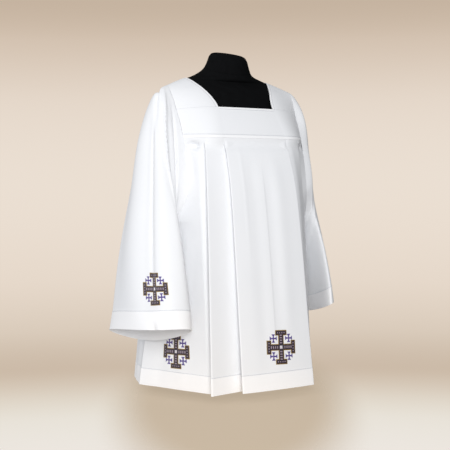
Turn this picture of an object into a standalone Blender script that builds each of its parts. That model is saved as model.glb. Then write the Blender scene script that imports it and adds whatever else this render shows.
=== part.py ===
"""A surplice standing on a dress form.

The garment is a chest band and a back band, two shoulder straps, a pleated front and back, and two wide
sleeves. Each is a thin wall of cloth with its own folds. A smooth torso with a neck carries it on a post
and a round base plate.

Places are written (across, forward, up) in metres. Across is positive to the wearer's left, forward is
positive to the wearer's front, which is -Y in Blender, and up is +Z. The origin is the middle of the base
plate's underside.
"""

from collections import namedtuple

import bmesh
import bpy
import numpy as np

# Cloth
CLOTH = 0.0012              # thickness of every cloth wall
SEAM = 0.0003               # clearance between two pieces at a seam
CORNER_SEAM = 0.0009        # the same where the pieces meet at a corner, so that their edges stay clear
UNDERARM_LAP = 0.0009       # how much further out the sleeve starts at the underarm, outside the body
HEM_BAND = 0.050            # depth of the turned-up hem on the skirt and on the cuffs
BAND_PROUD = 0.0005         # how far the turned-up layer stands out
BAND_STEP = 0.0010          # height of the little step above it

# Heights
HEM_UP = 0.025
YOKE_UP = 0.743             # seam between the bands and the pleated bodies

# Dress form stand
POST_RADIUS = 0.0175
BASE_RADIUS = 0.130
BASE_THICKNESS = 0.012
FORM_BOTTOM = 0.300
POST_SIDES = 24
BASE_SIDES = 40

# How finely the pieces are divided
HOLE_SAMPLES = 2000         # points along half an armhole, for finding a height on it
BAND_ROWS = 5
BAND_MIDDLE_COLUMNS = 5     # from the centre to the strap
BAND_SIDE_COLUMNS = 9       # from there to the armhole
STRAP_ROWS = 15
STRAP_COLUMNS = 8
CREST_CROWDING = 0.5        # 0 spaces a strap's rows evenly, 1 gathers them at the top of the shoulder
SMOOTH_ANGLE = 40.0         # edges that bend more than this many degrees are sharp

# Armhole of the wearer's left side, a closed curve through these points. Turn is the share of the way round.
HolePoint = namedtuple("HolePoint", "turn across forward up")
ARMHOLE = (
    HolePoint(0.000, 0.2165, -0.010, 0.900),    # shoulder
    HolePoint(0.110, 0.2090, 0.052, 0.800),     # front, level with the chest band
    HolePoint(0.180, 0.2080, 0.084, 0.710),
    HolePoint(0.270, 0.2085, 0.102, 0.580),     # front, foremost
    HolePoint(0.500, 0.2425, 0.0185, 0.492),     # underarm
    HolePoint(0.750, 0.2140, -0.112, 0.600),    # back, rearmost
    HolePoint(0.890, 0.2090, -0.078, 0.800),
)

# Inner edge of a shoulder strap, from the seam over the back pleats, over the shoulder, to the seam over the
# front pleats. The outer height is where the same cross line meets the armhole, and round says how late the
# cloth rounds off towards the armhole.
EdgePoint = namedtuple("EdgePoint", "way across forward up outer_up round")
STRAP_EDGE = (
    EdgePoint(-3.0, 0.107, -0.1500, 0.7430, 0.7430, 2.30),      # back seam over the pleats
    EdgePoint(-2.0, 0.098, -0.1280, 0.8350, 0.8270, 1.90),      # back corner of the neckline
    EdgePoint(-0.9, 0.124, -0.0800, 0.9050, 0.8850, 1.25),
    EdgePoint(+0.0, 0.142, -0.0300, 0.9285, 0.8996, 1.10),      # top of the shoulder
    EdgePoint(+0.9, 0.123, 0.0220, 0.9025, 0.8840, 1.25),
    EdgePoint(+2.0, 0.096, 0.0855, 0.8350, 0.8270, 1.90),       # front corner of the neckline
    EdgePoint(+3.0, 0.107, 0.1370, 0.7430, 0.7430, 2.30),       # front seam over the pleats
)
CORNER_WAY = 2.0            # way at the neckline corner
SEAM_WAY = 3.0              # way at the seam over the pleats
STRAP_WIDTH = 0.075         # from the strap's inner edge to the armhole, at the shoulder
CHEST_BOW = 0.003           # how far the middle of a band bows out

# How the skirt flares: share of the way from the pleat seam's shape to the hem's shape, by height.
Flare = namedtuple("Flare", "up share")
FLARE = (
    Flare(0.025, 1.00),
    Flare(0.220, 0.80),
    Flare(0.440, 0.58),
    Flare(0.600, 0.37),
    Flare(0.700, 0.13),
    Flare(0.743, 0.00),
)

# The cloth is threaded round upright rods, one in each pleat fold and one at each gentle bend. Turn is -1
# where the cloth bends back and +1 where it turns out again. Each place is the rod's middle, and legs and
# arcs are the steps before the rod and round it. The left half falls closer in than the right half.
Rod = namedtuple("Rod", "name turn across_top out_top radius_top across_hem out_hem radius_hem legs arcs")
FRONT_RIGHT_RODS = (
    Rod("middle", -1, 0.000, 0.1370, 0.0, 0.000, 0.2560, 0.0, 0, 0),
    Rod("centre edge", -1, 0.1060, 0.1360, 0.0010, 0.1194, 0.2538, 0.0022, 4, 3),
    Rod("centre fold", +1, 0.0670, 0.1337, 0.0010, 0.0780, 0.2200, 0.0022, 1, 3),
    Rod("side edge", -1, 0.1600, 0.1185, 0.0010, 0.2120, 0.2380, 0.0022, 3, 3),
    Rod("side fold", +1, 0.1210, 0.1210, 0.0010, 0.1700, 0.2180, 0.0022, 1, 3),
    Rod("hip", -1, 0.1580, 0.0780, 0.0300, 0.1920, 0.1980, 0.0130, 1, 4),
)
FRONT_LEFT_RODS = (
    Rod("middle", -1, 0.000, 0.1370, 0.0, 0.000, 0.2560, 0.0, 0, 0),
    Rod("centre edge", -1, 0.1060, 0.1360, 0.0010, 0.1194, 0.2538, 0.0022, 4, 3),
    Rod("centre fold", +1, 0.0670, 0.1337, 0.0010, 0.0780, 0.2200, 0.0022, 1, 3),
    Rod("chest", -1, 0.1150, 0.0800, 0.0500, 0.1150, 0.1650, 0.0500, 1, 3),
    Rod("side edge", -1, 0.1600, 0.1185, 0.0010, 0.1950, 0.1400, 0.0022, 2, 3),
    Rod("side fold", +1, 0.1210, 0.1210, 0.0010, 0.1580, 0.1560, 0.0022, 1, 3),
    Rod("hip", -1, 0.1580, 0.0820, 0.0300, 0.1650, 0.1080, 0.0300, 1, 4),
)
BACK_RIGHT_RODS = (
    Rod("middle", -1, 0.000, 0.1500, 0.0, 0.000, 0.2160, 0.0, 0, 0),
    Rod("centre edge", -1, 0.1060, 0.1490, 0.0010, 0.1194, 0.2138, 0.0022, 4, 3),
    Rod("centre fold", +1, 0.0670, 0.1467, 0.0010, 0.0780, 0.1820, 0.0022, 1, 3),
    Rod("side edge", -1, 0.1600, 0.1330, 0.0010, 0.2151, 0.2030, 0.0022, 3, 3),
    Rod("side fold", +1, 0.1210, 0.1350, 0.0010, 0.1720, 0.1800, 0.0022, 1, 3),
    Rod("hip", -1, 0.1550, 0.0900, 0.0300, 0.2150, 0.1300, 0.0480, 1, 4),
)
BACK_LEFT_RODS = (
    Rod("middle", -1, 0.000, 0.1500, 0.0, 0.000, 0.2160, 0.0, 0, 0),
    Rod("centre edge", -1, 0.1060, 0.1490, 0.0010, 0.1194, 0.2138, 0.0022, 4, 3),
    Rod("centre fold", +1, 0.0670, 0.1467, 0.0010, 0.0780, 0.1820, 0.0022, 1, 3),
    Rod("side edge", -1, 0.1600, 0.1330, 0.0010, 0.2080, 0.1960, 0.0022, 3, 3),
    Rod("side fold", +1, 0.1210, 0.1350, 0.0010, 0.1660, 0.1730, 0.0022, 1, 3),
    Rod("hip", -1, 0.1550, 0.0900, 0.0300, 0.2000, 0.1200, 0.0480, 1, 4),
)
LAST_LEG = 4                # steps from the hip to the side edge
MIDDLE_BOW = 0.004          # how far the centre panel bows out at the hem

# Side seams from hem to underarm
SeamPoint = namedtuple("SeamPoint", "up across forward")
RIGHT_SEAM = (
    SeamPoint(0.025, 0.3035, -0.0255),
    SeamPoint(0.300, 0.2710, -0.0060),
    SeamPoint(0.400, 0.2570, 0.0055),
    SeamPoint(0.492, 0.2425, 0.0185),
)
LEFT_SEAM = (
    SeamPoint(0.025, 0.2850, -0.0280),
    SeamPoint(0.300, 0.2600, -0.0060),
    SeamPoint(0.400, 0.2515, 0.0055),
    SeamPoint(0.492, 0.2425, 0.0185),
)
UNDERARM_UP = 0.492
SKIRT_LEVELS = (0.19, 0.31, 0.41, 0.46, UNDERARM_UP)
ARMHOLE_LEVELS = (0.496, 0.504, 0.518, 0.545, 0.590, 0.645, 0.700)       # up the side of a body
YOKE_LEVELS = (YOKE_UP, 0.785, 0.827, 0.860, 0.882, 0.895)              # on up to the shoulder

# Rings of a sleeve below the armhole, each a closed curve through four places, written for the left side.
# The right sleeve stands out from the body, and the left one hangs flatter and further back.
Ring = namedtuple("Ring", "outer front inner back full")
RIGHT_SLEEVE = (
    Ring((0.249, 0.002, 0.883), (0.234, 0.101, 0.615), (0.2490, 0.0195, 0.472), (0.245, -0.096, 0.660), 1.1),
    Ring((0.291, 0.022, 0.775), (0.254, 0.114, 0.560), (0.2540, 0.0220, 0.440), (0.283, -0.086, 0.610), 1.2),
    Ring((0.316, 0.055, 0.600), (0.259, 0.139, 0.500), (0.2640, 0.026, 0.385), (0.312, -0.084, 0.515), 1.3),
    Ring((0.343, 0.100, 0.410), (0.257, 0.172, 0.372), (0.2770, 0.027, 0.292), (0.337, -0.094, 0.375), 1.4),
    Ring((0.358, 0.140, 0.2620), (0.255, 0.1935, 0.259), (0.2870, 0.028, 0.211), (0.352, -0.104, 0.232), 1.4),
    Ring((0.360, 0.147, 0.209), (0.255, 0.200, 0.206), (0.2900, 0.030, 0.160), (0.360, -0.108, 0.179), 1.4),
)
LEFT_SLEEVE = (
    Ring((0.243, 0.000, 0.879), (0.233, 0.098, 0.610), (0.2480, 0.0175, 0.470), (0.243, -0.096, 0.660), 1.05),
    Ring((0.267, -0.004, 0.770), (0.246, 0.086, 0.550), (0.2530, 0.0150, 0.438), (0.272, -0.096, 0.610), 1.2),
    Ring((0.292, -0.012, 0.600), (0.253, 0.088, 0.505), (0.2610, 0.012, 0.390), (0.296, -0.110, 0.520), 1.3),
    Ring((0.321, -0.006, 0.420), (0.258, 0.128, 0.395), (0.2705, 0.008, 0.318), (0.315, -0.130, 0.380), 1.4),
    Ring((0.341, 0.002, 0.288), (0.260, 0.154, 0.296), (0.2800, 0.006, 0.256), (0.326, -0.145, 0.250), 1.4),
    Ring((0.347, 0.004, 0.235), (0.260, 0.161, 0.243), (0.2830, 0.006, 0.205), (0.330, -0.150, 0.199), 1.4),
)
SLEEVE_STATIONS = (0.0, 0.4, 0.8, 1.25, 1.7, 2.2, 2.7, 3.2, 3.7, 4.3, 4.98, 5.0, 5.5, 6.0)

# The form's cross-sections: half width, the place of its widest line, its reach forward and backward from
# there, and how square it is (2 is an ellipse). Lean tips a section, front edge down, as a slope.
Slice = namedtuple("Slice", "up half forward front back square lean")
FORM = (
    Slice(FORM_BOTTOM, 0.160, 0.000, 0.110, 0.120, 2.3, 0.0),
    Slice(0.360, 0.166, 0.000, 0.114, 0.124, 2.3, 0.0),
    Slice(0.480, 0.146, 0.000, 0.104, 0.104, 2.3, 0.0),
    Slice(0.600, 0.152, 0.000, 0.114, 0.110, 2.2, 0.0),
    Slice(0.680, 0.168, 0.000, 0.122, 0.118, 2.2, 0.0),
    Slice(0.743, 0.184, 0.000, 0.116, 0.124, 2.3, 0.0),
    Slice(0.800, 0.190, -0.004, 0.096, 0.116, 2.2, 0.0),
    Slice(0.835, 0.194, -0.008, 0.084, 0.104, 2.1, 0.0),
    Slice(0.867, 0.197, -0.012, 0.075, 0.088, 1.9, 0.0),
    Slice(0.897, 0.196, -0.016, 0.064, 0.074, 1.6, 0.0),
    Slice(0.910, 0.184, -0.022, 0.060, 0.062, 1.4, 0.04),
    Slice(0.922, 0.156, -0.025, 0.058, 0.058, 1.4, 0.12),
    Slice(0.9322, 0.126, -0.024, 0.058, 0.060, 1.6, 0.24),
    Slice(0.9385, 0.099, -0.018, 0.060, 0.066, 1.9, 0.34),
    Slice(0.948, 0.0790, -0.016, 0.058, 0.070, 2.0, 0.36),
    Slice(0.970, 0.0670, -0.015, 0.056, 0.064, 2.0, 0.32),
    Slice(0.992, 0.0590, -0.015, 0.0565, 0.0585, 2.0, 0.29),
    Slice(1.000, 0.055, -0.015, 0.053, 0.054, 2.0, 0.29),
    Slice(1.004, 0.046, -0.015, 0.044, 0.045, 2.0, 0.29),
)
FORM_AROUND = 32
FORM_EVEN_UP = 0.800        # up to here the rows are evenly spaced, and above there is one for each slice
FORM_EVEN_ROWS = 11
FORM_SOFTENING = 0.008      # the slices are evened out over this distance up and down
SOFTENING_SAMPLES = 9       # how many heights are averaged within it


def column(table, name):
    """One named column of a table as an array."""
    return np.array([getattr(row, name) for row in table], float)


def smooth_through(keys, values, at):
    """A smooth curve through the given values that never swings past them.

    Between two keys it is a cubic; its slope at a key is the harmonic mean of the straight slopes beside
    it, and nought at a peak or a dip. Values may have any number of columns.
    """
    keys, values, at = (np.asarray(a, float) for a in (keys, values, at))
    span = np.diff(keys)
    rise = np.diff(values, axis=0) / span.reshape((-1,) + (1,) * (values.ndim - 1))
    slope = np.zeros_like(values)
    product = rise[:-1] * rise[1:]
    total = np.where(product > 0, rise[:-1] + rise[1:], 1.0)
    slope[1:-1] = np.where(product > 0, 2.0 * product / total, 0.0)
    slope[0] = 1.5 * rise[0] - 0.5 * slope[1]
    slope[-1] = 1.5 * rise[-1] - 0.5 * slope[-2]
    part = np.clip(np.searchsorted(keys, at, side="right") - 1, 0, len(span) - 1)
    shape = at.shape + (1,) * (values.ndim - 1)
    t = ((at - keys[part]) / span[part]).reshape(shape)
    width = span[part].reshape(shape)
    return (
        (2 * t**3 - 3 * t**2 + 1) * values[part]
        + (t**3 - 2 * t**2 + t) * width * slope[part]
        + (3 * t**2 - 2 * t**3) * values[part + 1]
        + (t**3 - t**2) * width * slope[part + 1]
    )


def closed_through(turns, points, full, at):
    """A closed smooth curve through the points, by the share of the way round.

    The slope at a point runs parallel to the line between its two neighbours, times how full the curve is:
    1 keeps the curve near its chords, 1.65 makes four points a circle.
    """
    turns, points, at = (np.asarray(a, float) for a in (turns, points, at))
    ahead = np.append(turns[1:], turns[0] + 1.0)
    behind = np.append(turns[-1] - 1.0, turns[:-1])
    slope = full * (np.roll(points, -1, 0) - np.roll(points, 1, 0)) / (ahead - behind)[:, None]
    at = at % 1.0
    part = np.searchsorted(turns, at, side="right") - 1
    after = (part + 1) % len(turns)
    width = (ahead - turns)[part][:, None]
    t = ((at - turns[part]) / width[:, 0])[:, None]
    return (
        (2 * t**3 - 3 * t**2 + 1) * points[part]
        + (t**3 - 2 * t**2 + t) * width * slope[part]
        + (3 * t**2 - 2 * t**3) * points[after]
        + (t**3 - t**2) * width * slope[after]
    )


def armhole(at):
    """Points of the left armhole by the share of the way round, from the shoulder to the front."""
    points = np.stack([column(ARMHOLE, n) for n in ("across", "forward", "up")], axis=-1)
    return closed_through(column(ARMHOLE, "turn"), points, 1.0, at)


def armhole_at_height(up, facing):
    """Where the armhole's front edge (facing 1) or back edge (facing -1) passes the given heights."""
    share = np.linspace(0.0, 0.5, HOLE_SAMPLES)
    line = armhole(share * facing)[::-1]
    return np.stack([np.interp(up, line[:, 2], line[:, axis]) for axis in (0, 1)], axis=-1)


def normals(grid, around=False):
    """Unit normals of a grid of points, from the differences along its rows and columns."""
    down = np.gradient(grid, axis=0)
    if around:
        wrapped = np.concatenate([grid[:, -1:], grid, grid[:, :1]], axis=1)
        over = np.gradient(wrapped, axis=1)[:, 1:-1]
    else:
        over = np.gradient(grid, axis=1)
    normal = np.cross(over, down)
    return normal / np.linalg.norm(normal, axis=-1, keepdims=True)


def fabric():
    """White woven cloth with a slight sheen."""
    return material("white_woven_cloth", (0.90, 0.90, 0.91), 0.75, 0.0)


def material(name, colour, roughness, metallic):
    """A Principled material, made once for each name."""
    if name in bpy.data.materials:
        return bpy.data.materials[name]
    made = bpy.data.materials.new(name)
    made.use_nodes = True
    shader = made.node_tree.nodes["Principled BSDF"]
    shader.inputs["Base Color"].default_value = (*colour, 1.0)
    shader.inputs["Roughness"].default_value = roughness
    shader.inputs["Metallic"].default_value = metallic
    return made


def solid(name, points, triangles, look):
    """An object from points given as (across, forward, up) and a closed set of triangles."""
    places = np.asarray(points, float) * (1.0, -1.0, 1.0)
    mesh = bpy.data.meshes.new(name)
    mesh.from_pydata(places.tolist(), [], np.asarray(triangles).tolist())
    shaped = bmesh.new()
    shaped.from_mesh(mesh)
    bmesh.ops.recalc_face_normals(shaped, faces=shaped.faces)
    shaped.to_mesh(mesh)
    shaped.free()
    mesh.shade_smooth()
    mesh.set_sharp_from_angle(angle=np.radians(SMOOTH_ANGLE))
    mesh.materials.append(look)
    made = bpy.data.objects.new(name, mesh)
    bpy.context.collection.objects.link(made)
    return made


def grid_triangles(index):
    """Two triangles for each cell of a grid of point numbers, all split along the same diagonal."""
    a, b = index[:-1, :-1], index[:-1, 1:]
    c, d = index[1:, 1:], index[1:, :-1]
    return np.concatenate([np.stack([a, b, c], -1).reshape(-1, 3), np.stack([a, c, d], -1).reshape(-1, 3)])


def strip(first, second):
    """Triangles between two lines of point numbers of equal length."""
    return grid_triangles(np.stack([first, second]))


def wall(name, middle, normal, around=False, proud=None):
    """A closed cloth wall: the middle surface moved out and in by half the thickness, joined at its edges.

    Proud is how far each row's outer side stands out beyond that.
    """
    rows, columns = middle.shape[:2]
    extra = np.zeros(rows) if proud is None else proud
    outer = middle + normal * (CLOTH / 2 + extra[:, None, None])
    inner = middle - normal * (CLOTH / 2)
    number = np.arange(rows * columns).reshape(rows, columns)
    if around:
        number = np.concatenate([number, number[:, :1]], axis=1)
    back = number + rows * columns
    faces = [grid_triangles(number), grid_triangles(back)[:, ::-1]]
    faces.append(strip(back[0], number[0]))
    faces.append(strip(number[-1], back[-1]))
    if not around:
        faces.append(strip(number[:, 0], back[:, 0]))
        faces.append(strip(back[:, -1], number[:, -1]))
    points = np.concatenate([outer.reshape(-1, 3), inner.reshape(-1, 3)])
    return solid(name, points, np.concatenate(faces), fabric())


def yoke_point(way, share):
    """A point of a band or a strap, on the wearer's left.

    Share runs evenly across from the strap's inner edge (0) to the armhole (1). The cloth leaves the inner
    edge level and falls away to the armhole as share to the power round.
    """
    way, share = np.broadcast_arrays(way, share)
    keys = column(STRAP_EDGE, "way")
    names = ("across", "forward", "up", "outer_up", "round")
    across, forward, up, outer_up, late = (smooth_through(keys, column(STRAP_EDGE, n), way) for n in names)
    holes = [armhole_at_height(outer_up.ravel(), facing).reshape(way.shape + (2,)) for facing in (1, -1)]
    outer = np.where((way > 0)[..., None], holes[0], holes[1])
    fall = share ** late
    return np.stack(
        [
            across + (outer[..., 0] - across) * share,
            forward + (outer[..., 1] - forward) * fall,
            up + (outer_up - up) * fall,
        ],
        axis=-1,
    )


def band_middle(way, share):
    """The middle of a band, between the straps' inner edges: share runs from 0 at the centre to 1."""
    way, share = np.broadcast_arrays(way, share)
    keys = column(STRAP_EDGE, "way")
    names = ("across", "forward", "up")
    across, forward, up = (smooth_through(keys, column(STRAP_EDGE, n), way) for n in names)
    bow = CHEST_BOW * (1.0 - share**2) * np.sign(forward)
    return np.stack([across * share, forward + bow, up], axis=-1)


def mirrored(points):
    """The same points on the wearer's right."""
    return points * (-1.0, 1.0, 1.0)


def trim(outer_edge):
    """Shares across a panel that stop short of the armhole by the seam's clearance."""
    return outer_edge * (1.0 - SEAM / STRAP_WIDTH)


def chest_band(name, facing):
    """The straight band between the neckline and the pleats, from armhole to armhole."""
    ways = facing * np.linspace(CORNER_WAY, SEAM_WAY, BAND_ROWS)[:, None]
    inner = np.linspace(0.0, 1.0, BAND_MIDDLE_COLUMNS)[None, :]
    outer = trim(np.linspace(0.0, 1.0, BAND_SIDE_COLUMNS)[1:])[None, :]
    half = np.concatenate([band_middle(ways, inner), yoke_point(ways, outer)], axis=1)
    middle = np.concatenate([mirrored(half[:, :0:-1]), half], axis=1)
    return wall(name, middle, normals(middle) * facing)


def shoulder_strap(name, side):
    """The strap over one shoulder, from the front band's top edge to the back band's."""
    drop = (STRAP_EDGE[-2].up - STRAP_EDGE[-1].up) / (SEAM_WAY - CORNER_WAY)
    last = CORNER_WAY - 2 * SEAM / drop
    even = np.linspace(1.0, -1.0, STRAP_ROWS)
    crowded = np.sin(even * np.pi / 2) ** 3
    ways = last * (even + (crowded - even) * CREST_CROWDING)
    middle = yoke_point(ways[:, None], trim(np.linspace(0.0, 1.0, STRAP_COLUMNS))[None, :])
    normal = normals(middle)
    if side < 0:
        middle, normal = mirrored(middle), mirrored(normal)
    return wall(name, middle, normal)


def side_edge(seam, up, facing):
    """The outer edge of a body panel: the side seam, and above the underarm the armhole."""
    places = np.stack([column(seam, n) for n in ("across", "forward")], -1)
    line = smooth_through(column(seam, "up"), places, np.minimum(up, UNDERARM_UP))
    return np.where((up <= UNDERARM_UP)[:, None], line, armhole_at_height(up, facing))


def left_of(angle):
    """The direction a right angle to the left of the given one, which is the cloth's outer side."""
    return np.stack([-np.sin(angle), np.cos(angle)], -1)


def pleated_half(rods, seam, up, facing):
    """Half a pleated body: for each height, the cloth's line from the centre to the side edge.

    The line is a belt round the rods: a straight leg touches two rods, and an arc follows each rod between
    its two legs. Returned are the places (across, out) and the outward directions, each a row per height.
    """
    share = smooth_through(column(FLARE, "up"), column(FLARE, "share"), up)
    centre, radius = [], []
    for rod in rods:
        top = np.array([rod.across_top, rod.out_top])
        hem = np.array([rod.across_hem, rod.out_hem])
        centre.append(top + (hem - top) * share[:, None])
        radius.append(rod.radius_top + (rod.radius_hem - rod.radius_top) * share)
    edge = side_edge(seam, up, facing) * (1.0, facing)
    edge[:, 1] += CORNER_SEAM / 2
    centre.append(edge)
    radius.append(np.zeros_like(up))
    turn = [rod.turn for rod in rods] + [-1]
    legs = [rod.legs for rod in rods] + [LAST_LEG]
    heading = []
    for i in range(len(centre) - 1):
        reach = centre[i + 1] - centre[i]
        offset = -turn[i] * radius[i] + turn[i + 1] * radius[i + 1]
        length = np.linalg.norm(reach, axis=-1)
        heading.append(np.arctan2(reach[:, 1], reach[:, 0]) - np.arcsin(offset / length))
    places, facings = [centre[0][:, None]], [left_of(heading[0])[:, None]]
    for i in range(1, len(centre)):
        start = centre[i - 1] - turn[i - 1] * radius[i - 1][:, None] * left_of(heading[i - 1])
        end = centre[i] - turn[i] * radius[i][:, None] * left_of(heading[i - 1])
        step = np.linspace(0.0, 1.0, legs[i] + 1)[1:]
        leg = start[:, None] + (end - start)[:, None] * step[None, :, None]
        if i == 1:
            bow = CHEST_BOW + (MIDDLE_BOW - CHEST_BOW) * share
            leg[..., 1] += bow[:, None] * (1.0 - step**2)
            places[0][..., 1] += bow[:, None]
        places.append(leg)
        facings.append(np.repeat(left_of(heading[i - 1])[:, None], len(step), axis=1))
        if i < len(rods) and rods[i].arcs:
            swing = heading[i] - heading[i - 1]
            swing = (swing + np.pi) % (2 * np.pi) - np.pi
            past = (swing * turn[i] < 0) & (np.abs(swing) > np.pi / 2)
            swing = np.where(past, swing + 2 * np.pi * turn[i], swing)
            bend = np.linspace(0.0, 1.0, rods[i].arcs + 1)[1:]
            angle = heading[i - 1][:, None] + swing[:, None] * bend
            arc = centre[i][:, None] - turn[i] * radius[i][:, None, None] * left_of(angle)
            places.append(arc)
            facings.append(left_of(angle))
    return np.concatenate(places, axis=1), np.concatenate(facings, axis=1)


def pleated_body(name, left_rods, right_rods, facing):
    """The pleated front or back, from side edge to side edge, with a turned-up hem."""
    band = HEM_UP + HEM_BAND
    up = np.array(
        (HEM_UP, band, band + BAND_STEP) + SKIRT_LEVELS + ARMHOLE_LEVELS + (YOKE_UP - 2 * SEAM,)
    )
    halves = []
    for rods, seam in ((left_rods, LEFT_SEAM), (right_rods, RIGHT_SEAM)):
        place, out = pleated_half(rods, seam, up, facing)
        height = np.repeat(up[:, None], place.shape[1], axis=1)
        points = np.stack([place[..., 0], place[..., 1] * facing, height], -1)
        outward = np.stack([out[..., 0], out[..., 1] * facing, np.zeros_like(height)], -1)
        halves.append((points, outward))
    (left, left_out), (right, right_out) = halves
    middle = np.concatenate([mirrored(right[:, :0:-1]), left], axis=1)
    normal = np.concatenate([mirrored(right_out[:, :0:-1]), left_out], axis=1)
    return wall(name, middle, normal, proud=np.where(up <= band, BAND_PROUD, 0.0))


def armhole_turns():
    """Shares of the way round the armhole at the levels that the bodies and bands have points on."""
    levels = np.array(YOKE_LEVELS[::-1] + ARMHOLE_LEVELS[::-1])
    share = np.linspace(0.0, 0.5, HOLE_SAMPLES)
    front = np.interp(-levels, -armhole(share)[:, 2], share)
    back = 1.0 - np.interp(-levels, -armhole(1.0 - share)[:, 2], share)
    return np.concatenate([[0.0], front, [0.5], back[::-1]])


def sleeve(name, rings, side):
    """A wide sleeve: a tube from the armhole to the cuff, with a turned-up hem.

    Each ring is a closed curve through its four places, and smooth lines run down through the rings.
    """
    around = armhole_turns()
    hole = armhole(around)
    lap = CORNER_SEAM + UNDERARM_LAP * np.sin(np.pi * around) ** 4
    hole[:, 0] += lap
    lines = [hole]
    for ring in rings:
        points = np.array([ring.outer, ring.front, ring.inner, ring.back])
        lines.append(closed_through((0.0, 0.25, 0.5, 0.75), points, ring.full, around))
    stations = np.array(SLEEVE_STATIONS)
    middle = smooth_through(np.arange(len(lines)), np.array(lines), stations)
    proud = np.where(stations >= len(rings) - 1, BAND_PROUD, 0.0)
    normal = -normals(middle, around=True)
    if side < 0:
        middle, normal = mirrored(middle), mirrored(normal)
    return wall(name, middle, normal, around=True, proud=proud)


def dress_form():
    """The torso and neck: squared ellipses, wider in front or behind as the table says, with flat ends."""
    keys = column(FORM, "up")
    levels = np.linspace(FORM_BOTTOM, FORM_EVEN_UP, FORM_EVEN_ROWS)
    levels = np.concatenate([levels, keys[keys > FORM_EVEN_UP]])
    names = ("half", "forward", "front", "back", "square", "lean")
    reach = np.minimum(FORM_SOFTENING, np.minimum(levels - keys[0], keys[-1] - levels))
    window = levels[:, None] + reach[:, None] * np.linspace(-1.0, 1.0, SOFTENING_SAMPLES)
    half, forward, front, back, square, lean = (
        smooth_through(keys, column(FORM, n), window).mean(axis=1)[:, None] for n in names
    )
    angle = np.arange(FORM_AROUND)[None, :] / FORM_AROUND * 2 * np.pi
    across = np.sign(np.cos(angle)) * np.abs(np.cos(angle)) ** (2 / square) * half
    reach = np.sign(np.sin(angle)) * np.abs(np.sin(angle)) ** (2 / square)
    depth = np.where(reach > 0, reach * front, reach * back)
    up = levels[:, None] - lean * depth
    points = np.stack([across, forward + depth, up], -1).reshape(-1, 3)
    number = np.arange(len(points)).reshape(len(levels), FORM_AROUND)
    ring = np.concatenate([number, number[:, :1]], axis=1)
    low, high = len(points), len(points) + 1
    points = np.concatenate([points, [points[number[0]].mean(0), points[number[-1]].mean(0)]])
    ends = [[low, a, b] for a, b in zip(ring[0][1:], ring[0][:-1])]
    ends += [[high, a, b] for a, b in zip(ring[-1][:-1], ring[-1][1:])]
    look = material("black_jersey_cover", (0.012, 0.012, 0.013), 0.85, 0.0)
    return solid("dress_form", points, np.concatenate([grid_triangles(ring), ends]), look)


def turned(name, radius, low, high, sides, look):
    """A straight round piece between two heights."""
    shaped = bmesh.new()
    bmesh.ops.create_cone(
        shaped, cap_ends=True, segments=sides, radius1=radius, radius2=radius, depth=high - low
    )
    bmesh.ops.translate(shaped, verts=shaped.verts, vec=(0.0, 0.0, (high + low) / 2))
    mesh = bpy.data.meshes.new(name)
    shaped.to_mesh(mesh)
    shaped.free()
    mesh.shade_smooth()
    mesh.set_sharp_from_angle(angle=np.radians(SMOOTH_ANGLE))
    mesh.materials.append(look)
    made = bpy.data.objects.new(name, mesh)
    bpy.context.collection.objects.link(made)
    return made


def build():
    """The whole part, one object for each sub-part."""
    for old in list(bpy.data.objects):
        bpy.data.objects.remove(old)
    chest_band("front_yoke", 1)
    chest_band("back_yoke", -1)
    shoulder_strap("shoulder_strap_left", 1)
    shoulder_strap("shoulder_strap_right", -1)
    pleated_body("front_body", FRONT_LEFT_RODS, FRONT_RIGHT_RODS, 1)
    pleated_body("back_body", BACK_LEFT_RODS, BACK_RIGHT_RODS, -1)
    sleeve("sleeve_left", LEFT_SLEEVE, 1)
    sleeve("sleeve_right", RIGHT_SLEEVE, -1)
    dress_form()
    steel = material("dark_painted_steel", (0.02, 0.02, 0.022), 0.45, 0.0)
    turned("stand_post", POST_RADIUS, BASE_THICKNESS + SEAM, FORM_BOTTOM - SEAM, POST_SIDES, steel)
    turned("stand_base", BASE_RADIUS, 0.0, BASE_THICKNESS, BASE_SIDES, steel)


build()
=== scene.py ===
"""A white surplice on a black dress form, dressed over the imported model.

Each garment piece is worked out again on a fine grid from the same rods, rings and edges as its solid, with
soft folds, turned hems, stitch lines and embroidered crosses. Places are (across, forward, up) in metres:
across is positive to the wearer's left, forward to the wearer's front, which is -Y, and up is +Z.
"""

from collections import namedtuple

import bpy
import numpy as np
from mathutils import Matrix


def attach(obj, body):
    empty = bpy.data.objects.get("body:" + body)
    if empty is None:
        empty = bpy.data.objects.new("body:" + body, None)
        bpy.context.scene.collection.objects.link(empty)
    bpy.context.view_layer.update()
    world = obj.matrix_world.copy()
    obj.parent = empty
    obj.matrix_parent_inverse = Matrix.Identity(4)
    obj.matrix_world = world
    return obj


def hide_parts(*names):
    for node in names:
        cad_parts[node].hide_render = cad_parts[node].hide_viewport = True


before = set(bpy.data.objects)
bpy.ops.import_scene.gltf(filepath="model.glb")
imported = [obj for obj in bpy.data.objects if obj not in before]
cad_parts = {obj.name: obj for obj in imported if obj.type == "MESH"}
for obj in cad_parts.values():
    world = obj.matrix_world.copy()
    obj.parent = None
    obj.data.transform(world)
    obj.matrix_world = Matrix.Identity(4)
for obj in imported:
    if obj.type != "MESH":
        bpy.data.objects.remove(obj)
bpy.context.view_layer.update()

# Cloth, seams and hems
CLOTH = 0.0012              # thickness of the woven cloth
SEAM = 0.0003               # clearance between two pieces at a seam
CORNER_SEAM = 0.0003        # the same between a body and the pieces along its side edge
UNDERARM_LAP = 0.0009       # how much further out the sleeve starts at the underarm, outside the body
HEM_BAND = 0.050            # depth of the turned-up hem
BAND_PROUD = 0.0006         # how far the turned-up layer stands out
BAND_STEP = 0.0015          # height of the soft step above it
NECK_BAND = 0.009           # turned and topstitched edge along the neckline
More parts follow.
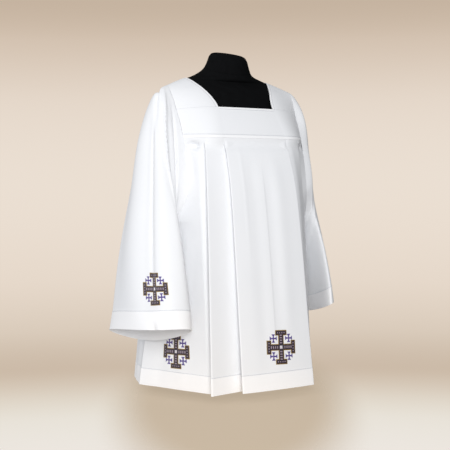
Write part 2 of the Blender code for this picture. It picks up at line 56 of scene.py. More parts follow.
FOOT_BAND = 0.012           # the same along the foot of a yoke
EDGE_PROUD = 0.0005         # how far these two stand out
EDGE_STEP = 0.0012          # width of the soft step past them
STITCH_IN = 0.0015          # from the edge of a turned layer to its stitch line
NO_SEAM = -1.0              # distance from the nearest stitch line where there is none

# Heights
HEM_UP = 0.025
BAND_UP = HEM_UP + HEM_BAND
YOKE_UP = 0.743             # seam between the yokes and the pleated bodies
UNDERARM_UP = 0.492

# Armhole of the wearer's left side, a closed curve through these points. Turn is the share of the way round.
HolePoint = namedtuple("HolePoint", "turn across forward up")
ARMHOLE = (
    HolePoint(0.000, 0.2165, -0.010, 0.900),     # shoulder
    HolePoint(0.110, 0.2090, 0.052, 0.800),      # front, level with the yoke
    HolePoint(0.180, 0.2080, 0.084, 0.710),
    HolePoint(0.270, 0.2085, 0.102, 0.580),      # front, foremost
    HolePoint(0.500, 0.2425, 0.0185, 0.492),     # underarm
    HolePoint(0.750, 0.2140, -0.112, 0.600),     # back, rearmost
    HolePoint(0.890, 0.2090, -0.078, 0.800),
)
HOLE_SAMPLES = 2000         # points along half an armhole, for finding a height or a distance on it

# Inner edge of a shoulder strap, from the seam over the back pleats, over the shoulder, to the seam over the
# front pleats. The outer height is where the same cross line meets the armhole, and round says how late the
# cloth rounds off towards the armhole.
EdgePoint = namedtuple("EdgePoint", "way across forward up outer_up round")
STRAP_EDGE = (
    EdgePoint(-3.0, 0.107, -0.1500, 0.7430, 0.7430, 2.30),      # back seam over the pleats
    EdgePoint(-2.0, 0.098, -0.1280, 0.8350, 0.8270, 1.90),      # back corner of the neckline
    EdgePoint(-0.9, 0.124, -0.0800, 0.9050, 0.8850, 1.25),
    EdgePoint(+0.0, 0.142, -0.0300, 0.9285, 0.8996, 1.10),      # top of the shoulder
    EdgePoint(+0.9, 0.123, 0.0220, 0.9025, 0.8840, 1.25),
    EdgePoint(+2.0, 0.096, 0.0855, 0.8350, 0.8270, 1.90),       # front corner of the neckline
    EdgePoint(+3.0, 0.107, 0.1370, 0.7430, 0.7430, 2.30),       # front seam over the pleats
)
CORNER_WAY = 2.0            # way at the neckline's corner
SEAM_WAY = 3.0              # way at the seam over the pleats
NECK_HALF = 0.097           # half the width of the neckline at its corners
STRAP_WIDTH = 0.075         # from the strap's inner edge to the armhole, at the shoulder
CHEST_BOW = 0.003           # how far the middle of a yoke bows out

# How the skirt flares: share of the way from the yoke seam's shape to the hem's shape, by height.
Flare = namedtuple("Flare", "up share")
FLARE = (
    Flare(0.025, 1.00),
    Flare(0.220, 0.80),
    Flare(0.440, 0.58),
    Flare(0.600, 0.37),
    Flare(0.700, 0.13),
    Flare(0.743, 0.00),
)

# The cloth is threaded round upright rods, one in each pleat fold and one at each gentle bend. Turn is -1
# where the cloth bends back and +1 where it turns out again. Each place is the rod's middle, and legs and
# arcs are the steps before the rod and round it. The left half falls closer in than the right half.
Rod = namedtuple("Rod", "name turn across_top out_top radius_top across_hem out_hem radius_hem legs arcs")
FRONT_CENTRE_RODS = (
    Rod("middle", -1, 0.000, 0.1370, 0.0, 0.000, 0.2560, 0.0, 0, 0),
    Rod("centre edge", -1, 0.1060, 0.1360, 0.0010, 0.1194, 0.2538, 0.0022, 44, 7),
    Rod("centre fold", +1, 0.0670, 0.1337, 0.0010, 0.0780, 0.2200, 0.0022, 8, 7),
)
FRONT_RIGHT_RODS = FRONT_CENTRE_RODS + (
    Rod("side edge", -1, 0.1600, 0.1185, 0.0010, 0.2120, 0.2380, 0.0022, 28, 7),
    Rod("side fold", +1, 0.1210, 0.1210, 0.0010, 0.1700, 0.2180, 0.0022, 8, 7),
    Rod("hip", -1, 0.1580, 0.0780, 0.0300, 0.1920, 0.1980, 0.0130, 8, 12),
)
FRONT_LEFT_RODS = FRONT_CENTRE_RODS + (
    Rod("chest", -1, 0.1150, 0.0800, 0.0500, 0.1150, 0.1650, 0.0500, 8, 10),
    Rod("side edge", -1, 0.1600, 0.1185, 0.0010, 0.1950, 0.1400, 0.0022, 18, 7),
    Rod("side fold", +1, 0.1210, 0.1210, 0.0010, 0.1580, 0.1560, 0.0022, 8, 7),
    Rod("hip", -1, 0.1580, 0.0820, 0.0300, 0.1650, 0.1080, 0.0300, 8, 12),
)
BACK_CENTRE_RODS = (
    Rod("middle", -1, 0.000, 0.1500, 0.0, 0.000, 0.2160, 0.0, 0, 0),
    Rod("centre edge", -1, 0.1060, 0.1490, 0.0010, 0.1194, 0.2138, 0.0022, 36, 7),
    Rod("centre fold", +1, 0.0670, 0.1467, 0.0010, 0.0780, 0.1820, 0.0022, 8, 7),
)
BACK_RIGHT_RODS = BACK_CENTRE_RODS + (
    Rod("side edge", -1, 0.1600, 0.1330, 0.0010, 0.2151, 0.2030, 0.0022, 26, 7),
    Rod("side fold", +1, 0.1210, 0.1350, 0.0010, 0.1720, 0.1800, 0.0022, 8, 7),
    Rod("hip", -1, 0.1550, 0.0900, 0.0300, 0.2150, 0.1300, 0.0480, 8, 12),
)
BACK_LEFT_RODS = BACK_CENTRE_RODS + (
    Rod("side edge", -1, 0.1600, 0.1330, 0.0010, 0.2080, 0.1960, 0.0022, 26, 7),
    Rod("side fold", +1, 0.1210, 0.1350, 0.0010, 0.1660, 0.1730, 0.0022, 8, 7),
    Rod("hip", -1, 0.1550, 0.0900, 0.0300, 0.2000, 0.1200, 0.0480, 8, 12),
)
LAST_LEG = 34               # steps from the hip to the side edge
MIDDLE_BOW = 0.004          # how far the centre panel bows out at the hem

# Side seams from hem to underarm
SeamPoint = namedtuple("SeamPoint", "up across forward")
RIGHT_SEAM = (
    SeamPoint(0.025, 0.3035, -0.0255),
    SeamPoint(0.300, 0.2710, -0.0060),
    SeamPoint(0.400, 0.2570, 0.0055),
    SeamPoint(0.492, 0.2425, 0.0185),
)
LEFT_SEAM = (
    SeamPoint(0.025, 0.2850, -0.0280),
    SeamPoint(0.300, 0.2600, -0.0060),
    SeamPoint(0.400, 0.2515, 0.0055),
    SeamPoint(0.492, 0.2425, 0.0185),
)

# Rings of a sleeve below the armhole, each a closed curve through four places, written for the left side.
# The right sleeve stands out from the body, and the left one hangs flatter and further back.
Ring = namedtuple("Ring", "outer front inner back full")
RIGHT_SLEEVE = (
    Ring((0.249, 0.002, 0.883), (0.234, 0.101, 0.615), (0.2490, 0.0195, 0.472), (0.245, -0.096, 0.660), 1.1),
    Ring((0.291, 0.022, 0.775), (0.254, 0.114, 0.560), (0.2540, 0.0220, 0.440), (0.283, -0.086, 0.610), 1.2),
    Ring((0.316, 0.055, 0.600), (0.259, 0.139, 0.500), (0.2640, 0.026, 0.385), (0.312, -0.084, 0.515), 1.3),
    Ring((0.343, 0.100, 0.410), (0.257, 0.172, 0.372), (0.2770, 0.027, 0.292), (0.337, -0.094, 0.375), 1.4),
    Ring((0.358, 0.140, 0.2620), (0.255, 0.1935, 0.259), (0.2870, 0.028, 0.211), (0.352, -0.104, 0.232), 1.4),
    Ring((0.360, 0.147, 0.209), (0.255, 0.200, 0.206), (0.2900, 0.030, 0.160), (0.360, -0.108, 0.179), 1.4),
)
LEFT_SLEEVE = (
    Ring((0.243, 0.000, 0.879), (0.233, 0.098, 0.610), (0.2480, 0.0175, 0.470), (0.243, -0.096, 0.660), 1.05),
    Ring((0.267, -0.004, 0.770), (0.246, 0.086, 0.550), (0.2530, 0.0150, 0.438), (0.272, -0.096, 0.610), 1.2),
    Ring((0.292, -0.012, 0.600), (0.253, 0.088, 0.505), (0.2610, 0.012, 0.390), (0.296, -0.110, 0.520), 1.3),
    Ring((0.321, -0.006, 0.420), (0.258, 0.128, 0.395), (0.2705, 0.008, 0.318), (0.315, -0.130, 0.380), 1.4),
    Ring((0.341, 0.002, 0.288), (0.260, 0.154, 0.296), (0.2800, 0.006, 0.256), (0.326, -0.145, 0.250), 1.4),
    Ring((0.347, 0.004, 0.235), (0.260, 0.161, 0.243), (0.2830, 0.006, 0.205), (0.330, -0.150, 0.199), 1.4),
)

# The form's cross-sections: half width, the place of its widest line, its reach forward and backward from
# there, and how square it is (2 is an ellipse). Lean tips a section, front edge down, as a slope.
Slice = namedtuple("Slice", "up half forward front back square lean")
FORM = (
    Slice(0.300, 0.160, 0.000, 0.110, 0.120, 2.3, 0.0),
    Slice(0.360, 0.166, 0.000, 0.114, 0.124, 2.3, 0.0),
    Slice(0.480, 0.146, 0.000, 0.104, 0.104, 2.3, 0.0),
    Slice(0.600, 0.152, 0.000, 0.114, 0.110, 2.2, 0.0),
    Slice(0.680, 0.168, 0.000, 0.122, 0.118, 2.2, 0.0),
    Slice(0.743, 0.184, 0.000, 0.116, 0.124, 2.3, 0.0),
    Slice(0.800, 0.190, -0.004, 0.096, 0.116, 2.2, 0.0),
    Slice(0.835, 0.194, -0.008, 0.084, 0.104, 2.1, 0.0),
    Slice(0.867, 0.197, -0.012, 0.075, 0.088, 1.9, 0.0),
    Slice(0.897, 0.196, -0.016, 0.064, 0.074, 1.6, 0.0),
    Slice(0.910, 0.184, -0.022, 0.060, 0.062, 1.4, 0.04),
    Slice(0.922, 0.156, -0.025, 0.058, 0.058, 1.4, 0.12),
    Slice(0.9322, 0.126, -0.024, 0.058, 0.060, 1.6, 0.24),
    Slice(0.9385, 0.099, -0.018, 0.060, 0.066, 1.9, 0.34),
    Slice(0.948, 0.0790, -0.016, 0.058, 0.070, 2.0, 0.36),
    Slice(0.970, 0.0670, -0.015, 0.056, 0.064, 2.0, 0.32),
    Slice(0.992, 0.0590, -0.015, 0.0565, 0.0585, 2.0, 0.29),
    Slice(1.000, 0.055, -0.015, 0.053, 0.054, 2.0, 0.29),
    Slice(1.004, 0.046, -0.015, 0.044, 0.045, 2.0, 0.29),
)


# Curves and grids

def column(table, name):
    """One named column of a table as an array."""
    return np.array([getattr(row, name) for row in table], float)


def smooth_through(keys, values, at):
    """A cubic through the values whose slope at a key is the harmonic mean of the slopes beside it."""
    keys, values, at = (np.asarray(a, float) for a in (keys, values, at))
    span = np.diff(keys)
    rise = np.diff(values, axis=0) / span.reshape((-1,) + (1,) * (values.ndim - 1))
    slope = np.zeros_like(values)
    product = rise[:-1] * rise[1:]
    total = np.where(product > 0, rise[:-1] + rise[1:], 1.0)
    slope[1:-1] = np.where(product > 0, 2.0 * product / total, 0.0)
    slope[0] = 1.5 * rise[0] - 0.5 * slope[1]
    slope[-1] = 1.5 * rise[-1] - 0.5 * slope[-2]
    part = np.clip(np.searchsorted(keys, at, side="right") - 1, 0, len(span) - 1)
    shape = at.shape + (1,) * (values.ndim - 1)
    t = ((at - keys[part]) / span[part]).reshape(shape)
    width = span[part].reshape(shape)
    return (
        (2 * t**3 - 3 * t**2 + 1) * values[part]
        + (t**3 - 2 * t**2 + t) * width * slope[part]
        + (3 * t**2 - 2 * t**3) * values[part + 1]
        + (t**3 - t**2) * width * slope[part + 1]
    )


def closed_through(turns, points, full, at):
    """A closed cubic through the points, with slopes along each point's neighbours times the fullness."""
    turns, points, at = (np.asarray(a, float) for a in (turns, points, at))
    ahead = np.append(turns[1:], turns[0] + 1.0)
    behind = np.append(turns[-1] - 1.0, turns[:-1])
    slope = full * (np.roll(points, -1, 0) - np.roll(points, 1, 0)) / (ahead - behind)[:, None]
    at = at % 1.0
    part = np.searchsorted(turns, at, side="right") - 1
    after = (part + 1) % len(turns)
    width = (ahead - turns)[part][:, None]
    t = ((at - turns[part]) / width[:, 0])[:, None]
    return (
        (2 * t**3 - 3 * t**2 + 1) * points[part]
        + (t**3 - 2 * t**2 + t) * width * slope[part]
        + (3 * t**2 - 2 * t**3) * points[after]
        + (t**3 - t**2) * width * slope[after]
    )


def ease(low, high, value):
    """0 below low, 1 above high, and 3t^2 - 2t^3 between them. Low may be the greater one."""
    t = np.clip((np.asarray(value, float) - low) / (high - low), 0.0, 1.0)
    return t * t * (3.0 - 2.0 * t)


def hump(value, middle, width):
    """A bell curve of height 1: exp(-((value - middle) / width)^2)."""
    return np.exp(-(((value - middle) / width) ** 2))


# Rows or columns of a grid: even steps from start to end
Span = namedtuple("Span", "start end count")


def steps_through(spans):
    """Rising steps through several spans, each step once where spans meet or overlap."""
    return np.unique(np.concatenate([np.linspace(*span) for span in spans]).round(9))


def armhole(at):
    """Points of the left armhole by the share of the way round, from the shoulder to the front."""
    points = np.stack([column(ARMHOLE, n) for n in ("across", "forward", "up")], axis=-1)
    return closed_through(column(ARMHOLE, "turn"), points, 1.0, at)


def armhole_at_height(up, facing):
    """Where the armhole's front edge (facing 1) or back edge (facing -1) passes the given heights."""
    share = np.linspace(0.0, 0.5, HOLE_SAMPLES)
    line = armhole(share * facing)[::-1]
    return np.stack([np.interp(up, line[:, 2], line[:, axis]) for axis in (0, 1)], axis=-1)


def normals(grid, around=False):
    """Unit normals of a grid of points, from the differences along its rows and columns."""
    down = np.gradient(grid, axis=0)
    if around:
        wrapped = np.concatenate([grid[:, -1:], grid, grid[:, :1]], axis=1)
        over = np.gradient(wrapped, axis=1)[:, 1:-1]
    else:
        over = np.gradient(grid, axis=1)
    normal = np.cross(over, down)
    return normal / np.linalg.norm(normal, axis=-1, keepdims=True)


def run_along(grid, axis):
    """Distance run along one direction of a grid of points, from its first row or column."""
    step = np.linalg.norm(np.diff(grid, axis=axis), axis=-1)
    start = np.zeros_like(np.take(step, [0], axis=axis))
    return np.concatenate([start, np.cumsum(step, axis=axis)], axis=axis)


# Meshes

def mesh_object(name, points, faces, looks, corner_maps=(), look_index=None, sharp=35.0):
    """A mesh of (across, forward, up) points, with its faces outwards and smooth up to a sharp angle.

    A corner map is the name of a UV map and its values, one for each corner of each face.
    """
    mesh = bpy.data.meshes.new(name)
    places = np.asarray(points, float) * (1.0, -1.0, 1.0)
    mesh.from_pydata(places.tolist(), [], faces if isinstance(faces, list) else faces.tolist())
    for map_name, values in corner_maps:
        layer = mesh.uv_layers.new(name=map_name)
        layer.data.foreach_set("uv", np.asarray(values, np.float32).ravel())
    for look in looks:
        mesh.materials.append(look)
    if look_index is not None:
        mesh.polygons.foreach_set("material_index", np.asarray(look_index, np.int32))
    mesh.shade_smooth()
    mesh.set_sharp_from_angle(angle=np.radians(sharp))
    mesh.update()
    if signed_volume(mesh) < 0:
        mesh.flip_normals()
    made = bpy.data.objects.new(name, mesh)
    bpy.context.collection.objects.link(made)
    return made


def signed_volume(mesh):
    """The volume that a closed mesh's faces enclose: the sum of a . (b x c) / 6, negative if they face in."""
    place = np.empty(len(mesh.vertices) * 3)
    mesh.vertices.foreach_get("co", place)
    mesh.calc_loop_triangles()
    corner = np.empty(len(mesh.loop_triangles) * 3, np.int32)
    mesh.loop_triangles.foreach_get("vertices", corner)
    a, b, c = place.reshape(-1, 3)[corner.reshape(-1, 3).T]
    return float((a * np.cross(b, c)).sum() / 6.0)


def cells(index):
    """The four corners of each cell of a grid of numbers."""
    return np.stack([index[:-1, :-1], index[:-1, 1:], index[1:, 1:], index[1:, :-1]], -1).reshape(-1, 4)


def closed_round(grid):
    """A grid with its first column again after its last one."""
    return np.concatenate([grid, grid[:, :1]], axis=1)


Panel = namedtuple("Panel", "object outer normal")


def cloth_wall(name, middle, normal, look, seam, proud=0.0, around=False):
    """A closed wall of cloth from a grid: the middle surface plus and minus half the thickness.

    Seam holds each point's distance from the nearest stitch line, positive on the turned layer, and its
    distance along it. Proud is the height added to the outer side. The UV map "cloth" is metres along the
    rows and down the columns.
    """
    rows, columns = middle.shape[:2]
    proud = np.broadcast_to(proud, (rows, columns))[..., None]
    outer = middle + normal * (CLOTH / 2 + proud)
    inner = middle - normal * (CLOTH / 2)
    points = np.concatenate([outer.reshape(-1, 3), inner.reshape(-1, 3)])
    front = np.arange(rows * columns).reshape(rows, columns)
    every = slice(None)
    edges = [(slice(0, 1), every, 1), (slice(-1, None), every, -1)]
    if around:
        front, middle, seam = closed_round(front), closed_round(middle), closed_round(seam)
    else:
        edges += [(every, slice(0, 1), -1), (every, slice(-1, None), 1)]
    back = front + rows * columns
    place = np.arange(front.size).reshape(front.shape)
    sides = [(front, place, 1), (back, place, -1)]
    for r, c, step in edges:
        rim = np.stack([back[r, c].ravel(), front[r, c].ravel()])
        sides.append((rim, np.stack([place[r, c].ravel()] * 2), step))
    faces = np.concatenate([cells(numbers)[:, ::step] for numbers, _, step in sides])
    corner = np.concatenate([cells(places)[:, ::step] for _, places, step in sides]).ravel()
    cloth = np.stack([run_along(middle, 1), run_along(middle, 0)], -1)
    maps = [("cloth", cloth.reshape(-1, 2)[corner]), ("seam", seam.reshape(-1, 2)[corner])]
    return Panel(mesh_object(name, points, faces, [look], maps), outer, normal)


# Materials

def linear(code):
    """An sRGB hex colour as linear red, green, blue and alpha."""
    values = np.array([int(code[i:i + 2], 16) for i in (0, 2, 4)]) / 255.0
    values = np.where(values <= 0.04045, values / 12.92, ((values + 0.055) / 1.055) ** 2.4)
    return (*values.tolist(), 1.0)


def add(tree, kind, settings=None, **links):
    """Adds a node. Settings are its own properties, and links its inputs, as values or as sockets.

    An input goes by its name with _ for a space, or by its number after a _.
    """
    node = tree.nodes.new(kind)
    for key, value in (settings or {}).items():
        setattr(node, key, value)
    for key, value in links.items():
        socket = node.inputs[int(key[1:])] if key[1:].isdigit() else node.inputs[key.replace("_", " ")]
        if isinstance(value, bpy.types.NodeSocket):
            tree.links.new(value, socket)
        else:
            socket.default_value = value
    return node


def new_material(name):
    """A material with a Principled shader linked to its output and nothing else."""
    made = bpy.data.materials.new(name)
    made.use_nodes = True
    tree = made.node_tree
    tree.nodes.clear()
    shader = add(tree, "ShaderNodeBsdfPrincipled")
    add(tree, "ShaderNodeOutputMaterial", Surface=shader.outputs[0])
    return made, tree, shader


WAVE_LENGTH = 0.314         # between the bands of a wave texture at scale 1, which is 2 pi / 20
STITCH_LONG = 0.0028        # from one stitch to the next
STITCH_GAP = 0.22           # share of it where the thread is out of sight
THREAD_HALF = 0.00035       # half the width of the sewing thread
GROOVE_FLOOR = 0.0002       # a stitch line sinks the cloth this far to each side
GROOVE_EDGE = 0.0016        # and the cloth is level again from here


def woven_cloth(name, code, deep_code, double_and_highlight_code):
    """Plain-woven polyester and viscose: a smooth hand with a soft sheen.

    Threads run at 0.35 mm. They are drawn at 2.2 mm, so that they show. Thicker places in single threads give
    faint streaks along warp and weft, 2 mm wide and 30 mm long. Stitches are sunk between swells of cloth,
    and the cloth along each stitch line is darkened to a blue grey as painted shade. A turned layer is
    whiter, partly because it is double and partly as a painted highlight, and broad clouds of a deeper white
    lie in the rest.
    """
    made, tree, shader = new_material(name)
    flat = add(tree, "ShaderNodeUVMap", {"uv_map": "cloth"}).outputs[0]
    streak, thread = [], []
    for axis, stretch in (("X", (900.0, 60.0, 1.0)), ("Y", (60.0, 900.0, 1.0))):
        place = add(tree, "ShaderNodeMapping", Vector=flat, Scale=stretch)
        streak.append(add(tree, "ShaderNodeTexNoise", Vector=place.outputs[0], Scale=0.55, Detail=1.0))
        thread.append(add(
            tree, "ShaderNodeTexWave", {"bands_direction": axis}, Vector=flat, Scale=143.0, Distortion=0.0
        ))
    streaks = add(
        tree, "ShaderNodeMath", {"operation": "ADD"}, _0=streak[0].outputs[0], _1=streak[1].outputs[0]
    )
    crossing = add(
        tree, "ShaderNodeMath", {"operation": "MULTIPLY"},
        _0=thread[0].outputs["Fac"], _1=thread[1].outputs["Fac"],
    )

    line = add(tree, "ShaderNodeUVMap", {"uv_map": "seam"}).outputs[0]
    off, along = add(tree, "ShaderNodeSeparateXYZ", Vector=line).outputs[:2]
    away = add(tree, "ShaderNodeMath", {"operation": "ABSOLUTE"}, _0=off)
    groove = add(
        tree, "ShaderNodeMapRange", {"interpolation_type": "SMOOTHSTEP"}, Value=away.outputs[0],
        From_Min=GROOVE_FLOOR, From_Max=GROOVE_EDGE, To_Min=0.0, To_Max=1.0,
    )
    beat = add(tree, "ShaderNodeMath", {"operation": "MULTIPLY"}, _0=along, _1=1.0 / STITCH_LONG)
    dash = add(tree, "ShaderNodeMath", {"operation": "FRACT"}, _0=beat.outputs[0])
    shown = add(tree, "ShaderNodeMath", {"operation": "GREATER_THAN"}, _0=dash.outputs[0], _1=STITCH_GAP)
    near = add(tree, "ShaderNodeMath", {"operation": "LESS_THAN"}, _0=away.outputs[0], _1=THREAD_HALF)
    stitch = add(tree, "ShaderNodeMath", {"operation": "MULTIPLY"}, _0=shown.outputs[0], _1=near.outputs[0])
    turned_layer = add(tree, "ShaderNodeMath", {"operation": "GREATER_THAN"}, _0=off, _1=-STITCH_IN)

    cloud = add(tree, "ShaderNodeTexNoise", Vector=flat, Scale=9.0, Detail=2.0)
    depth = add(
        tree, "ShaderNodeMapRange", Value=cloud.outputs[0], From_Min=0.3, From_Max=0.7, To_Min=0.0, To_Max=0.3
    )
    tone = linear(code)
    # The turned layer is whiter, partly because the cloth is double and partly as a painted highlight on the
    # turned edges.
    for share, over in ((depth, deep_code), (turned_layer, double_and_highlight_code)):
        tone = add(
            tree, "ShaderNodeMix", {"data_type": "RGBA"}, Factor=share.outputs[0], _6=tone, _7=linear(over)
        ).outputs[2]
    # Painted shade: the cloth turns blue grey along each stitch line, as if its groove lay in shade.
    groove_shaded = add(
        tree, "ShaderNodeMix", {"data_type": "RGBA"}, Factor=groove.outputs[0], _6=linear("D0D4DA"), _7=tone
    )
    sewn = add(
        tree, "ShaderNodeMix", {"data_type": "RGBA"}, Factor=stitch.outputs[0], _6=groove_shaded.outputs[2],
        _7=linear("FCFDFF"),
    )
    tree.links.new(sewn.outputs[2], shader.inputs["Base Color"])
    rough = add(
        tree, "ShaderNodeMapRange", Value=streaks.outputs[0],
        From_Min=0.7, From_Max=1.3, To_Min=0.62, To_Max=0.74,
    )
    tree.links.new(rough.outputs[0], shader.inputs["Roughness"])
    fine = add(tree, "ShaderNodeBump", Strength=0.25, Distance=0.00012, Height=crossing.outputs[0])
    streaky = add(
        tree, "ShaderNodeBump", Strength=0.35, Distance=0.00012,
        Height=streaks.outputs[0], Normal=fine.outputs[0],
    )
    sunk = add(
        tree, "ShaderNodeBump", Strength=0.8, Distance=0.0006,
        Height=groove.outputs[0], Normal=streaky.outputs[0],
    )
    raised = add(
        tree, "ShaderNodeBump", Strength=0.8, Distance=0.0004,
        Height=stitch.outputs[0], Normal=sunk.outputs[0],
    )
    tree.links.new(raised.outputs[0], shader.inputs["Normal"])
    shader.inputs["Sheen Weight"].default_value = 0.12
    shader.inputs["Sheen Roughness"].default_value = 0.4
    shader.inputs["IOR"].default_value = 1.46
    shader.inputs["Specular IOR Level"].default_value = 0.25
    return made


def satin_stitch(thread):
    """Satin-stitched embroidery thread: short glossy threads side by side, turned by the thread's own angle.

    Real ones lie 0.4 mm apart. They are drawn at 1.4 to 1.6 mm, so that they show.
    """
    made, tree, shader = new_material(thread.name)
    flat = add(tree, "ShaderNodeUVMap", {"uv_map": "stitch"}).outputs[0]
    place = add(tree, "ShaderNodeMapping", Vector=flat, Rotation=(0.0, 0.0, thread.turn))
    wave = add(
        tree, "ShaderNodeTexWave", {"bands_direction": "X"}, Vector=place.outputs[0],
        Scale=WAVE_LENGTH / thread.pitch, Distortion=0.6, Detail=1.0,
    )
    colour = add(
        tree, "ShaderNodeMix", {"data_type": "RGBA"}, Factor=wave.outputs["Fac"], _6=linear(thread.deep_code),
        _7=linear(thread.code),
    )
    tree.links.new(colour.outputs[2], shader.inputs["Base Color"])
    bump = add(tree, "ShaderNodeBump", Strength=0.6, Distance=0.0003, Height=wave.outputs["Fac"])
    tree.links.new(bump.outputs[0], shader.inputs["Normal"])
    shader.inputs["Roughness"].default_value = 0.42
    shader.inputs["Sheen Weight"].default_value = 0.2
    shader.inputs["IOR"].default_value = 1.5
    return made


def jersey(name):
    """Black knitted cotton jersey stretched over the form: matt, with fine upright ribs.

    Ribs and loops lie 1 mm apart. They are drawn at 2.8 and 2.0 mm, so that they show.
    """
    made, tree, shader = new_material(name)
    flat = add(tree, "ShaderNodeUVMap", {"uv_map": "cloth"}).outputs[0]
    rib = add(tree, "ShaderNodeTexWave", {"bands_direction": "X"}, Vector=flat, Scale=112.0, Distortion=0.3)
    loop = add(tree, "ShaderNodeTexWave", {"bands_direction": "Y"}, Vector=flat, Scale=160.0, Distortion=0.3)
    knit = add(
        tree, "ShaderNodeMath", {"operation": "MULTIPLY"}, _0=rib.outputs["Fac"], _1=loop.outputs["Fac"]
    )
    cloud = add(tree, "ShaderNodeTexNoise", Vector=flat, Scale=40.0, Detail=3.0)
    mixed = add(
        tree, "ShaderNodeMix", {"data_type": "RGBA"}, Factor=cloud.outputs[0], _6=linear("0B0B0C"),
        _7=linear("121314"),
    )
    tree.links.new(mixed.outputs[2], shader.inputs["Base Color"])
    bump = add(tree, "ShaderNodeBump", Strength=0.4, Distance=0.0003, Height=knit.outputs[0])
    tree.links.new(bump.outputs[0], shader.inputs["Normal"])
    shader.inputs["Roughness"].default_value = 0.85
    shader.inputs["Specular IOR Level"].default_value = 0.03
    return made


def painted_steel(name):
    """Steel with a dark satin powder coat: a fine orange-peel texture of about 1.5 mm and faint wear."""
    made, tree, shader = new_material(name)
    where = add(tree, "ShaderNodeTexCoord").outputs["Object"]
    peel = add(tree, "ShaderNodeTexNoise", Vector=where, Scale=650.0, Detail=2.0)
    patch = add(tree, "ShaderNodeTexNoise", Vector=where, Scale=25.0, Detail=4.0)
    colour = add(
        tree, "ShaderNodeMix", {"data_type": "RGBA"}, Factor=patch.outputs[0], _6=linear("26272A"),
        _7=linear("34363A"),
    )
    tree.links.new(colour.outputs[2], shader.inputs["Base Color"])
    rough = add(
        tree, "ShaderNodeMapRange", Value=patch.outputs[0],
        From_Min=0.3, From_Max=0.7, To_Min=0.35, To_Max=0.5,
    )
    tree.links.new(rough.outputs[0], shader.inputs["Roughness"])
    bump = add(tree, "ShaderNodeBump", Strength=0.15, Distance=0.0004, Height=peel.outputs[0])
    tree.links.new(bump.outputs[0], shader.inputs["Normal"])
    return made


# Yokes and straps

YOKE_ROWS = (Span(0.0, 1.0, 26), Span(0.08, 0.12, 7), Span(0.85, 0.89, 7))      # shares of the way down
MIDDLE_COLUMNS = 25         # from the centre of a yoke to the strap
SIDE_COLUMNS = 41           # from there to the armhole
STRAP_ROWS = 90             # over the shoulder
STRAP_COLUMNS = (Span(0.0, 1.0, 30), Span(0.09, 0.13, 7))       # shares of the way to the armhole


def yoke_point(way, share):
    """A point of a yoke or strap: share runs from the strap's inner edge (0) to the armhole (1)."""
    way, share = np.broadcast_arrays(way, share)
    keys = column(STRAP_EDGE, "way")
    names = ("across", "forward", "up", "outer_up", "round")
    across, forward, up, outer_up, late = (smooth_through(keys, column(STRAP_EDGE, n), way) for n in names)
    holes = [armhole_at_height(outer_up.ravel(), facing).reshape(way.shape + (2,)) for facing in (1, -1)]
    outer = np.where((way > 0)[..., None], holes[0], holes[1])
    fall = share ** late
    return np.stack(
        [
            across + (outer[..., 0] - across) * share,
            forward + (outer[..., 1] - forward) * fall,
            up + (outer_up - up) * fall,
        ],
        axis=-1,
    )


def band_middle(way, share):
    """The middle of a yoke, between the straps' inner edges."""
    way, share = np.broadcast_arrays(way, share)
    keys = column(STRAP_EDGE, "way")
    across, forward, up = (
        smooth_through(keys, column(STRAP_EDGE, name), way) for name in ("across", "forward", "up")
    )
    bow = CHEST_BOW * (1.0 - share**2) * np.sign(forward)
    return np.stack([across * share, forward + bow, up], axis=-1)


def mirrored(points):
    """The same points on the wearer's right."""
    return points * (-1.0, 1.0, 1.0)


def turned_edge(off, width):
    """Height of a turned and topstitched edge: proud up to the width, with a soft step down past it."""
    return EDGE_PROUD * (1.0 - ease(width, width + EDGE_STEP, off))


def yoke(name, facing, look):
    """A yoke from armhole to armhole, with a turned edge along the neckline and along its foot.

    Its rows lie close together where the turned edges end.
    """
    ways = facing * (CORNER_WAY + (SEAM_WAY - CORNER_WAY) * steps_through(YOKE_ROWS))[:, None]
    inner = np.linspace(0.0, 1.0, MIDDLE_COLUMNS)
    outer = (1.0 - SEAM / STRAP_WIDTH) * np.linspace(0.0, 1.0, SIDE_COLUMNS)[1:]
    half = np.concatenate([band_middle(ways, inner), yoke_point(ways, outer)], axis=1)
    middle = np.concatenate([mirrored(half[:, :0:-1]), half], axis=1)
    down = run_along(middle, 0)
    foot = down[-1:] - down
    at_neck = np.abs(middle[..., 0]) < NECK_HALF
    proud = np.maximum(turned_edge(down, NECK_BAND) * at_neck, turned_edge(foot, FOOT_BAND))
    neck_off = np.where(at_neck, NECK_BAND - STITCH_IN - down, NO_SEAM)
    seam = np.stack([np.maximum(neck_off, FOOT_BAND - STITCH_IN - foot), run_along(middle, 1)], -1)
    return cloth_wall(name, middle, normals(middle) * facing, look, seam, proud)


def strap(name, side, look):
    """A shoulder strap from the front yoke over the shoulder to the back one, with a turned neck edge."""
    drop = (STRAP_EDGE[-2].up - STRAP_EDGE[-1].up) / (SEAM_WAY - CORNER_WAY)
    end = CORNER_WAY - 2 * SEAM / drop
    ways = np.linspace(end, -end, STRAP_ROWS)[:, None]
    middle = yoke_point(ways, (1.0 - SEAM / STRAP_WIDTH) * steps_through(STRAP_COLUMNS))
    across = run_along(middle, 1)
    seam = np.stack([NECK_BAND - STITCH_IN - across, run_along(middle, 0)], -1)
    normal = normals(middle)
    if side < 0:
        middle, normal = mirrored(middle), mirrored(normal)
    return cloth_wall(name, middle, normal, look, seam, turned_edge(across, NECK_BAND))


# Pleated bodies

BODY_ROWS = (
    Span(HEM_UP, BAND_UP, 9),
    Span(BAND_UP, BAND_UP + BAND_STEP, 4),
    Span(BAND_UP + 0.004, UNDERARM_UP, 40),
    Span(UNDERARM_UP, 0.690, 28),
    Span(0.693, YOKE_UP - SEAM / 2, 18),
)


